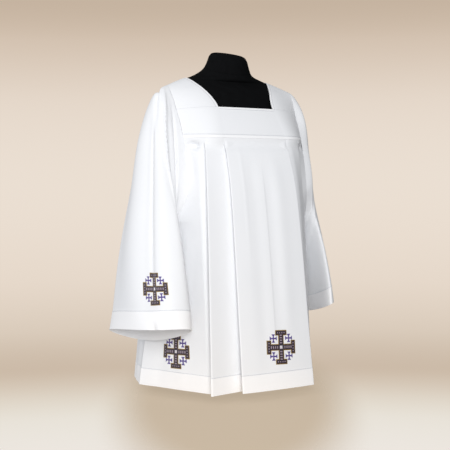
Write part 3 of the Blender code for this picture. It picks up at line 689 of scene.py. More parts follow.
def side_edge(seam, up, facing):
    """The outer edge of a body panel: the side seam, and above the underarm the armhole."""
    places = np.stack([column(seam, n) for n in ("across", "forward")], -1)
    line = smooth_through(column(seam, "up"), places, np.minimum(up, UNDERARM_UP))
    return np.where((up <= UNDERARM_UP)[:, None], line, armhole_at_height(up, facing))


def left_of(angle):
    """The direction a right angle to the left of the given one, which is the cloth's outer side."""
    return np.stack([-np.sin(angle), np.cos(angle)], -1)


def rods_at(rods, seam, up, facing):
    """Middles (across, out) and radii of the rods at each height. The last is the side edge, of no radius."""
    share = smooth_through(column(FLARE, "up"), column(FLARE, "share"), up)
    centre, radius = [], []
    for rod in rods:
        top = np.array([rod.across_top, rod.out_top])
        hem = np.array([rod.across_hem, rod.out_hem])
        centre.append(top + (hem - top) * share[:, None])
        radius.append(rod.radius_top + (rod.radius_hem - rod.radius_top) * share)
    edge = side_edge(seam, up, facing) * (1.0, facing)
    edge[:, 1] += CORNER_SEAM / 2
    return centre + [edge], radius + [np.zeros_like(up)], share


def headings(centre, radius, turn):
    """The direction of each leg: from rod to rod, less the arcsine of the radii's offset over the reach."""
    heading = []
    for i in range(len(centre) - 1):
        reach = centre[i + 1] - centre[i]
        offset = -turn[i] * radius[i] + turn[i + 1] * radius[i + 1]
        lean = np.arcsin(offset / np.linalg.norm(reach, axis=-1))
        heading.append(np.arctan2(reach[:, 1], reach[:, 0]) - lean)
    return heading


def pleated_half(rods, seam, up, facing):
    """Half a pleated body: the cloth's line from the centre to the side edge, as a belt round the rods.

    Returned for each height are the places (across, out), the outward directions, and a count that is a whole
    number on each rod and runs evenly along the leg between two rods.
    """
    centre, radius, share = rods_at(rods, seam, up, facing)
    turn = [rod.turn for rod in rods] + [-1]
    legs = [rod.legs for rod in rods] + [LAST_LEG]
    arcs = [rod.arcs for rod in rods] + [0]
    heading = headings(centre, radius, turn)
    places, facings, count = [centre[0][:, None]], [left_of(heading[0])[:, None]], [np.zeros(1)]
    for i in range(1, len(centre)):
        outward = left_of(heading[i - 1])
        start = centre[i - 1] - turn[i - 1] * radius[i - 1][:, None] * outward
        end = centre[i] - turn[i] * radius[i][:, None] * outward
        step = np.linspace(0.0, 1.0, legs[i] + 1)[1:]
        leg = start[:, None] + (end - start)[:, None] * step[None, :, None]
        if i == 1:
            bow = CHEST_BOW + (MIDDLE_BOW - CHEST_BOW) * share
            leg[..., 1] += bow[:, None] * (1.0 - step**2)
            places[0][..., 1] += bow[:, None]
        places.append(leg)
        facings.append(np.repeat(outward[:, None], len(step), axis=1))
        count.append(i - 1 + step)
        if arcs[i]:
            swing = (heading[i] - heading[i - 1] + np.pi) % (2 * np.pi) - np.pi
            past = (swing * turn[i] < 0) & (np.abs(swing) > np.pi / 2)
            swing = np.where(past, swing + 2 * np.pi * turn[i], swing)
            bend = np.linspace(0.0, 1.0, arcs[i] + 1)[1:]
            outward = left_of(heading[i - 1][:, None] + swing[:, None] * bend)
            places.append(centre[i][:, None] - turn[i] * radius[i][:, None, None] * outward)
            facings.append(outward)
            count.append(np.full(len(bend), float(i)))
    return np.concatenate(places, axis=1), np.concatenate(facings, axis=1), np.concatenate(count)


# Soft folds pressed or hung into a body. Count is the place along the belt, at the yoke and at the hem.
# Height is outwards, in metres, and the fold fades out above high and below low.
BodyFold = namedtuple("BodyFold", "side count_top count_hem width height low high")
FRONT_FOLDS = (
    BodyFold(-1, 0.62, 0.60, 0.006, 0.0006, 0.42, 0.735),     # the pleat's hidden edge shows through
    BodyFold(-1, 0.36, 0.30, 0.024, -0.0022, 0.10, 0.70),
    BodyFold(+1, 0.40, 0.36, 0.024, 0.0022, 0.20, 0.70),
    BodyFold(+1, 0.12, 0.10, 0.026, -0.0018, 0.15, 0.66),
    BodyFold(-1, 2.25, 2.25, 0.035, 0.0045, 0.05, 0.70),
    BodyFold(-1, 5.30, 5.40, 0.022, 0.0030, 0.05, 0.50),
    BodyFold(-1, 5.70, 5.72, 0.020, -0.0030, 0.03, 0.42),
    BodyFold(+1, 6.40, 6.40, 0.020, -0.0030, 0.05, 0.50),
)
BACK_FOLDS = (
    BodyFold(-1, 0.45, 0.40, 0.022, -0.0022, 0.10, 0.68),
    BodyFold(+1, 0.40, 0.38, 0.022, -0.0020, 0.12, 0.66),
    BodyFold(-1, 5.45, 5.45, 0.024, 0.0035, 0.06, 0.60),
    BodyFold(+1, 5.40, 5.45, 0.024, 0.0032, 0.06, 0.58),
    BodyFold(-1, 5.75, 5.75, 0.020, -0.0030, 0.05, 0.50),
    BodyFold(+1, 5.75, 5.75, 0.020, -0.0030, 0.05, 0.50),
)
FOLD_FADE = 0.09            # a fold fades over this distance round its low end, and below its high end
FOLD_TIP = 0.03             # and over this one above its high end


def body_relief(folds, side, count, run, up):
    """Height of the soft folds on one half: the sum of bells across each fold, faded at its two ends."""
    share = (YOKE_UP - up) / (YOKE_UP - HEM_UP)
    relief = np.zeros_like(run)
    row, whole = np.arange(len(up)), np.arange(len(count))
    for fold in folds:
        if fold.side == side:
            at = fold.count_top + (fold.count_hem - fold.count_top) * share
            spot = np.interp(at, count + whole * 1e-9, whole)
            low = np.minimum(spot.astype(int), len(count) - 2)
            part = spot - low
            middle = (run[row, low] * (1 - part) + run[row, low + 1] * part)[:, None]
            fade = ease(fold.low - FOLD_FADE, fold.low + FOLD_FADE, up)
            fade *= ease(fold.high + FOLD_TIP, fold.high - FOLD_FADE, up)
            relief += fold.height * hump(run, middle, fold.width) * fade[:, None]
    return relief


# Hollows that the cloth falls into just under the ends of the yoke
Pocket = namedtuple("Pocket", "facing side across up wide tall depth")
POCKETS = (
    Pocket(1, -1, 0.187, 0.720, 0.013, 0.010, 0.0210),
    Pocket(1, -1, 0.199, 0.670, 0.008, 0.050, 0.0060),
    Pocket(1, 1, 0.186, 0.722, 0.013, 0.011, 0.0060),
)
POCKET_FADE = 0.012         # they fade out this far in from the side edge


def pocket_relief(facing, side, place, run, up):
    """Height of the hollows on one half, as bells across and up, so below nought."""
    relief = np.zeros_like(run)
    for spot in POCKETS:
        if (spot.facing, spot.side) == (facing, side):
            wide = hump(place[..., 0], spot.across, spot.wide)
            relief -= spot.depth * wide * hump(up, spot.up, spot.tall)[:, None]
    return relief * ease(0.0, POCKET_FADE, run[:, -1:] - run)


FOOT_SAMPLES = 200          # points along each part of a yoke's foot
PULL_LOW = 0.700            # the cloth begins to be drawn towards the foot at this height
PULL_HIGH = 0.738           # and lies along it from here on
EDGE_INNER = 0.003          # the draw begins this far inside a pleat's edge
EDGE_OUTER = 0.001          # and is whole this far outside it


def pull_to_yoke(rods, place, count, up, facing):
    """How far out the top of a body is drawn to lie along the yoke's foot, where no pleat covers it.

    A leg's part beyond the pleat edge before it is free, and it is drawn the whole way at the seam.
    """
    share = np.linspace(0.0, 1.0, FOOT_SAMPLES)
    way = np.full(FOOT_SAMPLES, facing * SEAM_WAY)
    line = np.concatenate([band_middle(way, share), yoke_point(way, share)])
    gap = np.interp(place[..., 0], line[:, 0], line[:, 1] * facing) - place[..., 1]
    free = np.ones_like(gap)
    for i, rod in enumerate(rods[:-1]):
        if rod.turn < 0 < rods[i + 1].turn:
            edge = place[:, np.argmax(count >= i)][:, :1]
            free = np.where(count > i, ease(edge - EDGE_INNER, edge + EDGE_OUTER, place[..., 0]), free)
    return gap * free * ease(PULL_LOW, PULL_HIGH, up)[:, None]


def body_half(rods, seam, side, facing, folds, up):
    """Points and outward directions of one half, from the centre out: belt, folds, pull, then hollows."""
    place, out, count = pleated_half(rods, seam, up, facing)
    run = run_along(np.concatenate([place, np.zeros(place.shape[:2] + (1,))], -1), 1)
    place = place + out * body_relief(folds, side, count, run, up)[..., None]
    place[..., 1] += pull_to_yoke(rods, place, count, up, facing)
    place = place + out * pocket_relief(facing, side, place, run, up)[..., None]
    height = np.repeat(up[:, None], place.shape[1], axis=1)
    points = np.stack([place[..., 0], place[..., 1] * facing, height], -1)
    outward = np.stack([out[..., 0], out[..., 1] * facing, np.zeros_like(height)], -1)
    if side < 0:
        points, outward = mirrored(points), mirrored(outward)
    return points, outward


def pleated_body(name, left_rods, right_rods, facing, folds, look):
    """The pleated front or back from side edge to side edge, with its turned-up hem and stitch line."""
    up = steps_through(BODY_ROWS)
    left = body_half(left_rods, LEFT_SEAM, 1, facing, folds, up)
    right = body_half(right_rods, RIGHT_SEAM, -1, facing, folds, up)
    middle, normal = (np.concatenate([b[:, :0:-1], a], axis=1) for a, b in zip(left, right))
    proud = BAND_PROUD * ease(BAND_UP + BAND_STEP, BAND_UP, middle[..., 2])
    seam = np.stack([BAND_UP - STITCH_IN - middle[..., 2], run_along(middle, 1)], -1)
    return cloth_wall(name, middle, normal, look, seam, proud)


# Sleeves

# Soft folds that fall down a sleeve. Turn is the place round it, at the top and at the cuff. Low and high are
# the stations that it runs between, from the armhole (0) to the cuff (6), and height is outwards.
SleeveFold = namedtuple("SleeveFold", "turn_top turn_cuff width_top width_cuff height low high")
RIGHT_FOLDS = (
    SleeveFold(-0.085, 0.375, 0.020, 0.020, -0.0110, 0.35, 1.7),
    SleeveFold(0.046, 0.016, 0.014, 0.014, -0.0070, 1.7, 4.7),
    SleeveFold(0.010, -0.010, 0.036, 0.040, -0.0080, 1.5, 5.5),
    SleeveFold(0.030, 0.020, 0.012, 0.012, -0.0150, 5.6, 8.0),
    SleeveFold(0.110, 0.090, 0.040, 0.044, 0.0050, 1.6, 6.0),
    SleeveFold(-0.020, 0.520, 0.014, 0.020, 0.0080, 0.6, 2.6),
    SleeveFold(0.040, 0.850, 0.022, 0.024, -0.0110, 0.4, 1.8),
    SleeveFold(-0.100, -0.080, 0.034, 0.050, 0.0040, 0.5, 5.0),
    SleeveFold(-0.180, -0.180, 0.030, 0.040, -0.0030, 0.5, 5.0),
)
LEFT_FOLDS = (
    SleeveFold(0.010, 0.020, 0.030, 0.035, -0.0040, 0.3, 6.5),
    SleeveFold(0.090, 0.100, 0.030, 0.040, 0.0030, 0.3, 4.5),
    SleeveFold(-0.070, -0.060, 0.030, 0.050, 0.0030, 0.3, 4.5),
    SleeveFold(0.160, 0.170, 0.030, 0.030, -0.0040, 1.0, 5.5),
    SleeveFold(-0.180, -0.180, 0.030, 0.040, -0.0030, 0.5, 5.0),
)
Fade = namedtuple("Fade", "before after")
LOW_FADE = Fade(0.3, 0.8)   # stations before and after its low end over which a fold comes in
HIGH_FADE = Fade(1.0, 0.5)  # the same for going out at its high end
RING_TURNS = (0.0, 0.25, 0.5, 0.75)
SLEEVE_COLUMNS = 144
SLEEVE_ROWS = (Span(0.0, 5.0, 96), Span(4.994, 4.997, 2), Span(5.0, 6.0, 9))    # the turned hem begins at 5
HEM_STEP = 0.015            # stations that its soft step takes


def armhole_turns(count):
    """Evenly spaced shares of the way round the armhole, by distance run along it."""
    share = np.linspace(0.0, 1.0, 2 * HOLE_SAMPLES + 1)
    run = run_along(armhole(share)[None], 1)[0]
    return np.interp(np.linspace(0.0, run[-1], count + 1)[:-1], run, share)


def sleeve(name, rings, folds, side, look):
    """A wide sleeve: smooth lines down through closed rings, plus the sum of its folds along the normal.

    Its columns are spaced halfway between evenly by turn and evenly along the armhole. At the underarm it
    starts further out, by the lap times the fourth power of the sine of half the turn.
    """
    around = (armhole_turns(SLEEVE_COLUMNS) + np.arange(SLEEVE_COLUMNS) / SLEEVE_COLUMNS) / 2
    hole = armhole(around)
    hole[:, 0] += CORNER_SEAM + UNDERARM_LAP * np.sin(np.pi * around) ** 4
    lines = [hole]
    for ring in rings:
        points = np.array([ring.outer, ring.front, ring.inner, ring.back])
        lines.append(closed_through(RING_TURNS, points, ring.full, around))
    station = steps_through(SLEEVE_ROWS)
    middle = smooth_through(np.arange(len(lines)), np.array(lines), station)
    relief = np.zeros(middle.shape[:2])
    share = station[:, None] / len(rings)
    for fold in folds:
        at = fold.turn_top + (fold.turn_cuff - fold.turn_top) * share
        width = fold.width_top + (fold.width_cuff - fold.width_top) * share
        away = (around - at + 0.5) % 1.0 - 0.5
        fade = ease(fold.low - LOW_FADE.before, fold.low + LOW_FADE.after, station)
        fade *= ease(fold.high + HIGH_FADE.after, fold.high - HIGH_FADE.before, station)
        relief += fold.height * hump(away, 0.0, width) * fade[:, None]
    middle = middle - normals(middle, around=True) * relief[..., None]
    normal = -normals(middle, around=True)
    band = len(rings) - 1
    proud = BAND_PROUD * ease(band - HEM_STEP, band, station)[:, None]
    down = run_along(middle, 0)
    edge = np.array([np.interp(band, station, line) for line in down.T])
    seam = np.stack([down - edge - STITCH_IN, run_along(middle, 1)], -1)
    if side < 0:
        middle, normal = mirrored(middle), mirrored(normal)
    return cloth_wall(name, middle, normal, look, seam, proud, around=True)


# Embroidered crosses

# Threads, with how far each stands out of the cloth. Pitch is the distance between the drawn threads.
Thread = namedtuple("Thread", "name code deep_code pitch turn rise")
THREADS = (
    Thread("satin_stitch_plum_brown", "3A2A38", "1F1620", 0.0016, 0.0, 0.00085),
    Thread("couched_gold_thread", "B8953F", "6E5420", 0.0014, 0.8, 0.00045),
    Thread("satin_stitch_pale_lilac", "B9A9B6", "8C7A88", 0.0014, 0.0, 0.0011),
    Thread("satin_stitch_violet", "6A57A6", "43366F", 0.0014, 0.8, 0.0008),
    Thread("satin_stitch_white", "F2EEF2", "CFC7D0", 0.0014, 0.0, 0.0012),
)
DARK, GOLD, PALE, VIOLET, WHITE = range(len(THREADS))

# Sizes of a cross, in tenths of its width
HALF = 5.0                  # from its middle to the end of a bar
ARM_LONG = 8.20             # the two arms, without the bars at their ends
ARM_WIDE = 1.60
BAR_LONG = 3.80
BAR_WIDE = 1.25
OUTLINE = 0.20              # the gold one, each way
ARM_STITCHES = (1.35, 2.10, 2.85, 3.60)     # how far out along an arm the pale ones lie
BAR_STITCHES = (-1.2, -0.4, 0.4, 1.2)       # and how far aside along a bar
Stitch = namedtuple("Stitch", "deep wide")
ARM_STITCH = Stitch(0.38, 0.80)
BAR_STITCH = Stitch(0.40, 0.34)
MIDDLE_BLOCK = 0.95         # the white one
CORNER_RIGHT = 2.80         # where the small crosses lie
CORNER_UP = 2.70
SMALL_LONG = 1.70           # their arms, without the flared ends
SMALL_WIDE = 0.42
FLARE_LONG = 0.42           # how far a flared end goes on past the arm, and how far it laps over it
FLARE_LAP = 0.15
FLARE_HALF = 0.66           # half its width at its tip
FOUR_WAYS = ((1, 0), (-1, 0), (0, 1), (0, -1))

# A field is a four-cornered area of stitches, right and up from the cross's middle.
Field = namedtuple("Field", "thread corners")


def block(thread, x, y, wide, high):
    """An upright rectangular field round (x, y)."""
    w, h = wide / 2, high / 2
    return Field(thread, ((x - w, y - h), (x + w, y - h), (x + w, y + h), (x - w, y + h)))


def on_each_arm(thread, out, aside, deep, wide):
    """A block on each of the four arms: its place out along the arm and aside, its size along and across."""
    return [
        block(thread, x * out - y * aside, y * out + x * aside, *((deep, wide) if x else (wide, deep)))
        for x, y in FOUR_WAYS
    ]


def small_cross(x, y):
    """A violet cross round (x, y), whose arms widen in a straight line at their ends."""
    fields = [block(VIOLET, x, y, SMALL_WIDE, SMALL_LONG), block(VIOLET, x, y, SMALL_LONG, SMALL_WIDE)]
    root, tip = SMALL_LONG / 2 - FLARE_LAP, SMALL_LONG / 2 + FLARE_LONG
    for dx, dy in FOUR_WAYS:
        ends = ((root, -SMALL_WIDE / 2), (tip, -FLARE_HALF), (tip, FLARE_HALF), (root, SMALL_WIDE / 2))
        corners = [(x + dx * out - dy * aside, y + dy * out + dx * aside) for out, aside in ends]
        fields.append(Field(VIOLET, corners))
    return fields


def cross_fields():
    """A plain cross with a bar at each end, pale stitches in its arms, and a small cross in each corner.

    The gold outline is the same shape, a little wider and lower, under the dark one.
    """
    fields = []
    bar_out = HALF - BAR_WIDE / 2
    side_arm = (ARM_LONG - ARM_WIDE) / 2
    for thread, more in ((GOLD, 2 * OUTLINE), (DARK, 0.0)):
        fields.append(block(thread, 0, 0, ARM_WIDE + more, ARM_LONG))
        for sign in (-1, 1):
            fields.append(block(thread, sign * (ARM_WIDE + side_arm) / 2, 0, side_arm, ARM_WIDE + more))
        fields += on_each_arm(thread, bar_out, 0, BAR_WIDE + more, BAR_LONG + more)
    for out in ARM_STITCHES:
        fields += on_each_arm(PALE, out, 0, *ARM_STITCH)
    for aside in BAR_STITCHES:
        fields += on_each_arm(PALE, bar_out, aside, *BAR_STITCH)
    fields.append(block(WHITE, 0, 0, MIDDLE_BLOCK, MIDDLE_BLOCK))
    for x in (-CORNER_RIGHT, CORNER_RIGHT):
        for y in (-CORNER_UP, CORNER_UP):
            fields += small_cross(x, y)
    return fields


# How a panel lies for someone who looks at it: its rough direction outwards, whether its columns run to the
# right (1) or left (-1) and its rows up or down, and whether it closes round.
Side = namedtuple("Side", "outward columns rows around")
FRONT_SIDE = Side((0.0, 1.0, 0.0), 1, 1, False)
RIGHT_SIDE = Side((-1.0, 0.3, 0.0), 1, -1, True)
LEFT_SIDE = Side((1.0, 0.3, 0.0), -1, -1, True)
FACES_OUT = 0.2             # a point counts as on the side where the cosine to its outward is above this


def on_panel(panel, middle, side, place):
    """Points and normals of a panel at (right, up) metres from its point nearest to the middle.

    Rows and columns are found by the distance run along the panel's middle row and column, and points
    between them are blended.
    """
    rows, columns = panel.outer.shape[:2]
    far = np.linalg.norm(panel.outer - middle, axis=-1)
    facing = (panel.normal * side.outward).sum(-1) > FACES_OUT
    r0, c0 = np.unravel_index(np.argmin(np.where(facing, far, np.inf)), (rows, columns))
    span = np.arange(-columns // 2, columns // 2) + c0 if side.around else np.arange(columns)
    along = run_along(panel.outer[r0, span % columns][None], 1)[0]
    along = (along - along[np.argmax(span == c0)]) * side.columns
    order = np.argsort(along)
    column_at = np.interp(place[..., 0], along[order], span[order])
    fall = run_along(panel.outer[:, c0][:, None], 0)[:, 0]
    fall = (fall - fall[r0]) * side.rows
    order = np.argsort(fall)
    row_at = np.interp(place[..., 1], fall[order], order)
    r = np.clip(np.floor(row_at).astype(int), 0, rows - 2)
    c = np.floor(column_at).astype(int)
    down, over = (row_at - r)[..., None], (column_at - c)[..., None]

    def blend(grid):
        """The grid's values at the places: between the columns first, then between the rows."""
        above = grid[r, c % columns] * (1 - over) + grid[r, (c + 1) % columns] * over
        below = grid[r + 1, c % columns] * (1 - over) + grid[r + 1, (c + 1) % columns] * over
        return above * (1 - down) + below * down

    normal = blend(panel.normal)
    return blend(panel.outer), normal / np.linalg.norm(normal, axis=-1, keepdims=True)


CELL = 0.0030               # greatest step of a field's grid
BED = 0.0001                # height of its flat underside above the cloth
RIM = 0.0005                # a field rises to its full height over this distance from its edge
RIM_SHARE = 0.22            # or over this share of its width, if that is less
RIM_HEIGHT = 0.55           # share of its height at the very edge


def rim_steps(length):
    """Shares across a field: its two edges, and even steps between the two rims."""
    rim = min(RIM_SHARE, RIM / length)
    count = max(1, int(np.ceil(length / CELL)))
    return np.concatenate([[0.0], np.linspace(rim, 1.0 - rim, count + 1), [1.0]])


def embroidered_cross(cross, looks):
    """A stitched cross on a panel, made from the panel's points moved out along its normals.

    Each field is a low closed pillow: a grid between its four corners, full height inside and lower at its
    rim, over a flat bed just above the cloth.
    """
    unit = cross.width / (2 * HALF)
    turn = np.array([[np.cos(cross.tilt), np.sin(cross.tilt)], [-np.sin(cross.tilt), np.cos(cross.tilt)]])
    points, faces, maps, look_of, total = [], [], [], [], 0
    for field in cross_fields():
        corner = np.array(field.corners) * unit
        wide, high = np.linalg.norm(corner[1] - corner[0]), np.linalg.norm(corner[3] - corner[0])
        s, t = np.meshgrid(rim_steps(wide), rim_steps(high))
        flat = (
            corner[0] * ((1 - s) * (1 - t))[..., None] + corner[1] * (s * (1 - t))[..., None]
            + corner[2] * (s * t)[..., None] + corner[3] * ((1 - s) * t)[..., None]
        )
        place, normal = on_panel(cross.panel, cross.middle, cross.side, flat @ turn)
        inside = (s > 0) & (s < 1) & (t > 0) & (t < 1)
        lift = THREADS[field.thread].rise * np.where(inside, 1.0, RIM_HEIGHT)[..., None]
        number = np.arange(s.size).reshape(s.shape)
        border = np.concatenate([number[0], number[1:, -1], number[-1, -2::-1], number[-2::-1, 0]])
        low = border + s.size
        edge = np.stack([border[:-1], low[:-1], low[1:], border[1:]], -1)
        pillow = np.concatenate([cells(number), cells(number + s.size)[:, ::-1], edge])
        points += [(place + normal * lift).reshape(-1, 3), (place + normal * BED).reshape(-1, 3)]
        faces.append(pillow + total)
        maps.append(np.concatenate([flat.reshape(-1, 2)] * 2)[pillow.ravel()])
        look_of.append(np.full(len(pillow), field.thread))
        total += 2 * s.size
    return mesh_object(
        cross.name, np.concatenate(points), np.concatenate(faces), looks, [("stitch", np.concatenate(maps))],
        np.concatenate(look_of), sharp=50.0,
    )


# Dress form and stand

NECK_SEAM_UP = 0.957
NECK_SEAM_DEEP = 0.016      # the sewn line draws the form in by this share
NECK_SEAM_HALF = 0.0009     # and fades over this distance up and down
FORM_ROWS = (
    Span(0.300, 0.860, 40),
    Span(0.862, 1.004, 60),
    Span(NECK_SEAM_UP - 0.0012, NECK_SEAM_UP + 0.0012, 5),
)
FORM_STEPS = 128            # round the form
SOFTENING = 0.008           # the slices are evened out over this distance up and down
SOFTENING_SAMPLES = 9


def dress_form(look):
    """The torso and neck: squared ellipses through the slices, with a sewn line round the neck's base.

    A squared ellipse is the cosine and sine of the angle, each raised to 2 / square, times the reach.
    """
    keys, up = column(FORM, "up"), steps_through(FORM_ROWS)
    reach = np.minimum(SOFTENING, np.minimum(up - keys[0], keys[-1] - up))
    window = up[:, None] + reach[:, None] * np.linspace(-1.0, 1.0, SOFTENING_SAMPLES)
    half, forward, front, back, square, lean = (
        smooth_through(keys, column(FORM, name), window).mean(axis=1)[:, None] for name in Slice._fields[1:]
    )
    angle = np.arange(FORM_STEPS) / FORM_STEPS * 2 * np.pi
    drawn = 1.0 - NECK_SEAM_DEEP * hump(up, NECK_SEAM_UP, NECK_SEAM_HALF)[:, None]
    cosine, sine = (
        np.sign(wave) * np.abs(wave) ** (2 / square) * drawn for wave in (np.cos(angle), np.sin(angle))
    )
    depth = sine * np.where(sine > 0, front, back)
    grid = np.stack([cosine * half, forward + depth, up[:, None] - lean * depth], -1)
    ends = [np.repeat(row.mean(0)[None, None], FORM_STEPS, axis=1) for row in (grid[0], grid[-1])]
    grid = np.concatenate([ends[0], grid, ends[1]])

    # One point closes each end, so the first and the last row of cells are triangles
    points = np.concatenate([grid[0, :1], grid[1:-1].reshape(-1, 3), grid[-1, :1]])
    number = np.zeros(grid.shape[:2], int)
    number[1:-1] = 1 + np.arange(number[1:-1].size).reshape(-1, FORM_STEPS)
    number[-1] = len(points) - 1
    faces = cells(closed_round(number))
    corners = cells(np.arange(len(grid) * (FORM_STEPS + 1)).reshape(len(grid), -1))
    parts = (
        (slice(0, FORM_STEPS), [0, 2, 3]),
        (slice(FORM_STEPS, -FORM_STEPS), [0, 1, 2, 3]),
        (slice(-FORM_STEPS, None), [0, 1, 2]),
    )
    polygons = [face for rows, pick in parts for face in faces[rows][:, pick].tolist()]
    corner = np.concatenate([corners[rows][:, pick].ravel() for rows, pick in parts])
    cloth = np.stack([run_along(closed_round(grid), axis) for axis in (1, 0)], -1).reshape(-1, 2)[corner]
    return mesh_object("form_torso", points, polygons, [look], [("cloth", cloth)], sharp=50.0)


# Outlines of the round plate and the post, from the rim of the underside up to the rim of the top
Turned = namedtuple("Turned", "radius up")
BASE_PROFILE = (
    Turned(0.1288, 0.0), Turned(0.1300, 0.0012), Turned(0.1300, 0.0085), Turned(0.1293, 0.0103),
    Turned(0.1275, 0.0116), Turned(0.1255, 0.0120),
)
POST_PROFILE = (
    Turned(0.0172, 0.0123), Turned(0.0175, 0.0128), Turned(0.0175, 0.2992), Turned(0.0172, 0.2997),
)
TURNED_STEPS = 96


def circle(steps):
    """Points (cosine, sine) evenly round a circle of radius 1, with a third place of 1."""
    angle = np.arange(steps) / steps * 2 * np.pi
    return np.stack([np.cos(angle), np.sin(angle), np.ones(steps)], -1)


def turned(name, profile, look):
    """A round piece: the profile turned about the upright axis, with a flat face at its foot and its top."""
    radius, up = column(profile, "radius"), column(profile, "up")
    rings = circle(TURNED_STEPS) * np.stack([radius, radius, up], -1)[:, None]
    number = np.arange(len(profile) * TURNED_STEPS).reshape(-1, TURNED_STEPS)
    faces = cells(closed_round(number))[:, ::-1].tolist() + [number[0].tolist(), number[-1, ::-1].tolist()]
    return mesh_object(name, rings.reshape(-1, 3), faces, [look], sharp=45.0)


# The dressed model

# FDFDFE is the turned layer's tone: whiter for the double cloth, and as a painted highlight on the turned
# edges.
white = woven_cloth("plain_woven_white_cloth", "F4F5F7", "EFF1F4", "FDFDFE")
knit = jersey("black_cotton_jersey")
coat = painted_steel("dark_powder_coated_steel")
threads = [satin_stitch(thread) for thread in THREADS]

front_yoke = yoke("yoke_front", 1, white)
back_yoke = yoke("yoke_back", -1, white)
left_strap = strap("strap_left", 1, white)
right_strap = strap("strap_right", -1, white)
front = pleated_body("body_front", FRONT_LEFT_RODS, FRONT_RIGHT_RODS, 1, FRONT_FOLDS, white)
back = pleated_body("body_back", BACK_LEFT_RODS, BACK_RIGHT_RODS, -1, BACK_FOLDS, white)
left_sleeve = sleeve("sleeve_of_left_arm", LEFT_SLEEVE, LEFT_FOLDS, 1, white)
right_sleeve = sleeve("sleeve_of_right_arm", RIGHT_SLEEVE, RIGHT_FOLDS, -1, white)
torso = dress_form(knit)
post = turned("post_of_stand", POST_PROFILE, coat)
base = turned("base_of_stand", BASE_PROFILE, coat)

Cross = namedtuple("Cross", "name panel middle width tilt side")
crosses = (
    Cross("cross_centre_front", front, (0.0147, 0.245, 0.142), 0.094, -0.05, FRONT_SIDE),
    Cross("cross_right_front", front, (-0.262, 0.100, 0.135), 0.093, 0.04, FRONT_SIDE),
    Cross("cross_left_front", front, (0.235, 0.060, 0.120), 0.100, 0.0, FRONT_SIDE),
    Cross("cross_right_sleeve", right_sleeve, (-0.345, 0.147, 0.3215), 0.089, 0.0, RIGHT_SIDE),
    Cross("cross_left_sleeve", left_sleeve, (0.340, 0.000, 0.340), 0.092, 0.0, LEFT_SIDE),
)
stitched = [(cross.panel, embroidered_cross(cross, threads)) for cross in crosses]

# Flat is the size of the cloth before it is pleated and sewn, and area that of the shape cut from it. Only
# what shows is counted, all round on a sleeve.
Dressed = namedtuple("Dressed", "panel node flat area held on")
dressed = (
    Dressed(front_yoke, "front_yoke", (0.48, 0.105), 0.047, "hung", ["dress_form"]),
    Dressed(back_yoke, "back_yoke", (0.48, 0.095), 0.0434, "hung", ["dress_form"]),
    Dressed(left_strap, "shoulder_strap_left", (0.11, 0.31), 0.0263, "draped", ["dress_form"]),
    Dressed(right_strap, "shoulder_strap_right", (0.11, 0.31), 0.0263, "draped", ["dress_form"]),
    Dressed(front, "front_body", (1.25, 0.73), 0.76, "hung", ["front_yoke"]),
    Dressed(back, "back_body", (1.25, 0.73), 0.755, "hung", ["back_yoke"]),
    Dressed(left_sleeve, "sleeve_left", (0.66, 0.70), 0.32, "hung", ["shoulder_strap_left"]),
    Dressed(right_sleeve, "sleeve_right", (0.66, 0.70), 0.32, "hung", ["shoulder_strap_right"]),
)
for piece in dressed:
    made = piece.panel.object
    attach(made, "root")
    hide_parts(piece.node)
    sewn_on = [stitching for panel, stitching in stitched if panel is piece.panel]
    for stitching in sewn_on:
        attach(stitching, "root")
for made, node, slot in (
    (torso, "dress_form", "form_cover"), (post, "stand_post", "stand"), (base, "stand_base", "stand")
):
    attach(made, "root")
    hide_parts(node)


# Floor, light and camera

# The floor shows as an oval, lengthened toward the camera: half widths, how far its middle lies in front of
# the stand, and the way that it is turned. Its disc is solid out to one share of those widths and gone at
# the next.
# The oval is a painted shadow under the stand, darker than the backdrop round it.
FLOOR_ACROSS = 0.31
FLOOR_ALONG = 0.92
FLOOR_AHEAD = 0.12
FLOOR_TURN = 0.547
FLOOR_SOLID = 0.72
FLOOR_GONE = 1.25
FLOOR_RADIUS = 1.3


def floor():
    """An oval of floor whose edge fades into the backdrop.

    It is darker than the backdrop round it, a painted shadow under the stand, and it gives off most of its
    own tone as painted light, so that no shadow on it is hard.
    """
    made, tree, shader = new_material("floor_painted_shadow_glow")
    shader.inputs["Base Color"].default_value = linear("6E6459")
    # Painted light: the floor glows with a shadowed beige tone of its own, though it is no lamp.
    shader.inputs["Emission Color"].default_value = linear("B5A692")
    shader.inputs["Emission Strength"].default_value = 1.0
    shader.inputs["Roughness"].default_value = 0.9
    shader.inputs["Specular IOR Level"].default_value = 0.0
    where = add(tree, "ShaderNodeTexCoord").outputs["Object"]
    far = add(tree, "ShaderNodeVectorMath", {"operation": "LENGTH"}, _0=where)
    solid = add(
        tree, "ShaderNodeMapRange", {"interpolation_type": "SMOOTHSTEP"}, Value=far.outputs["Value"],
        From_Min=FLOOR_SOLID, From_Max=FLOOR_GONE, To_Min=1.0, To_Max=0.0,
    )
    clear = add(tree, "ShaderNodeBsdfTransparent")
    mixed = add(tree, "ShaderNodeMixShader", _0=solid.outputs[0], _1=clear.outputs[0], _2=shader.outputs[0])
    tree.links.new(mixed.outputs[0], tree.nodes["Material Output"].inputs["Surface"])
    disc = circle(TURNED_STEPS) * (FLOOR_RADIUS, FLOOR_RADIUS, 0.0)
    laid = mesh_object("studio_floor", disc, [list(range(TURNED_STEPS))[::-1]], [made])
    laid.scale = (FLOOR_ACROSS, FLOOR_ALONG, 1.0)
    laid.rotation_euler[2] = -FLOOR_TURN
    laid.location = (-FLOOR_AHEAD * np.sin(FLOOR_TURN), -FLOOR_AHEAD * np.cos(FLOOR_TURN), 0.0)


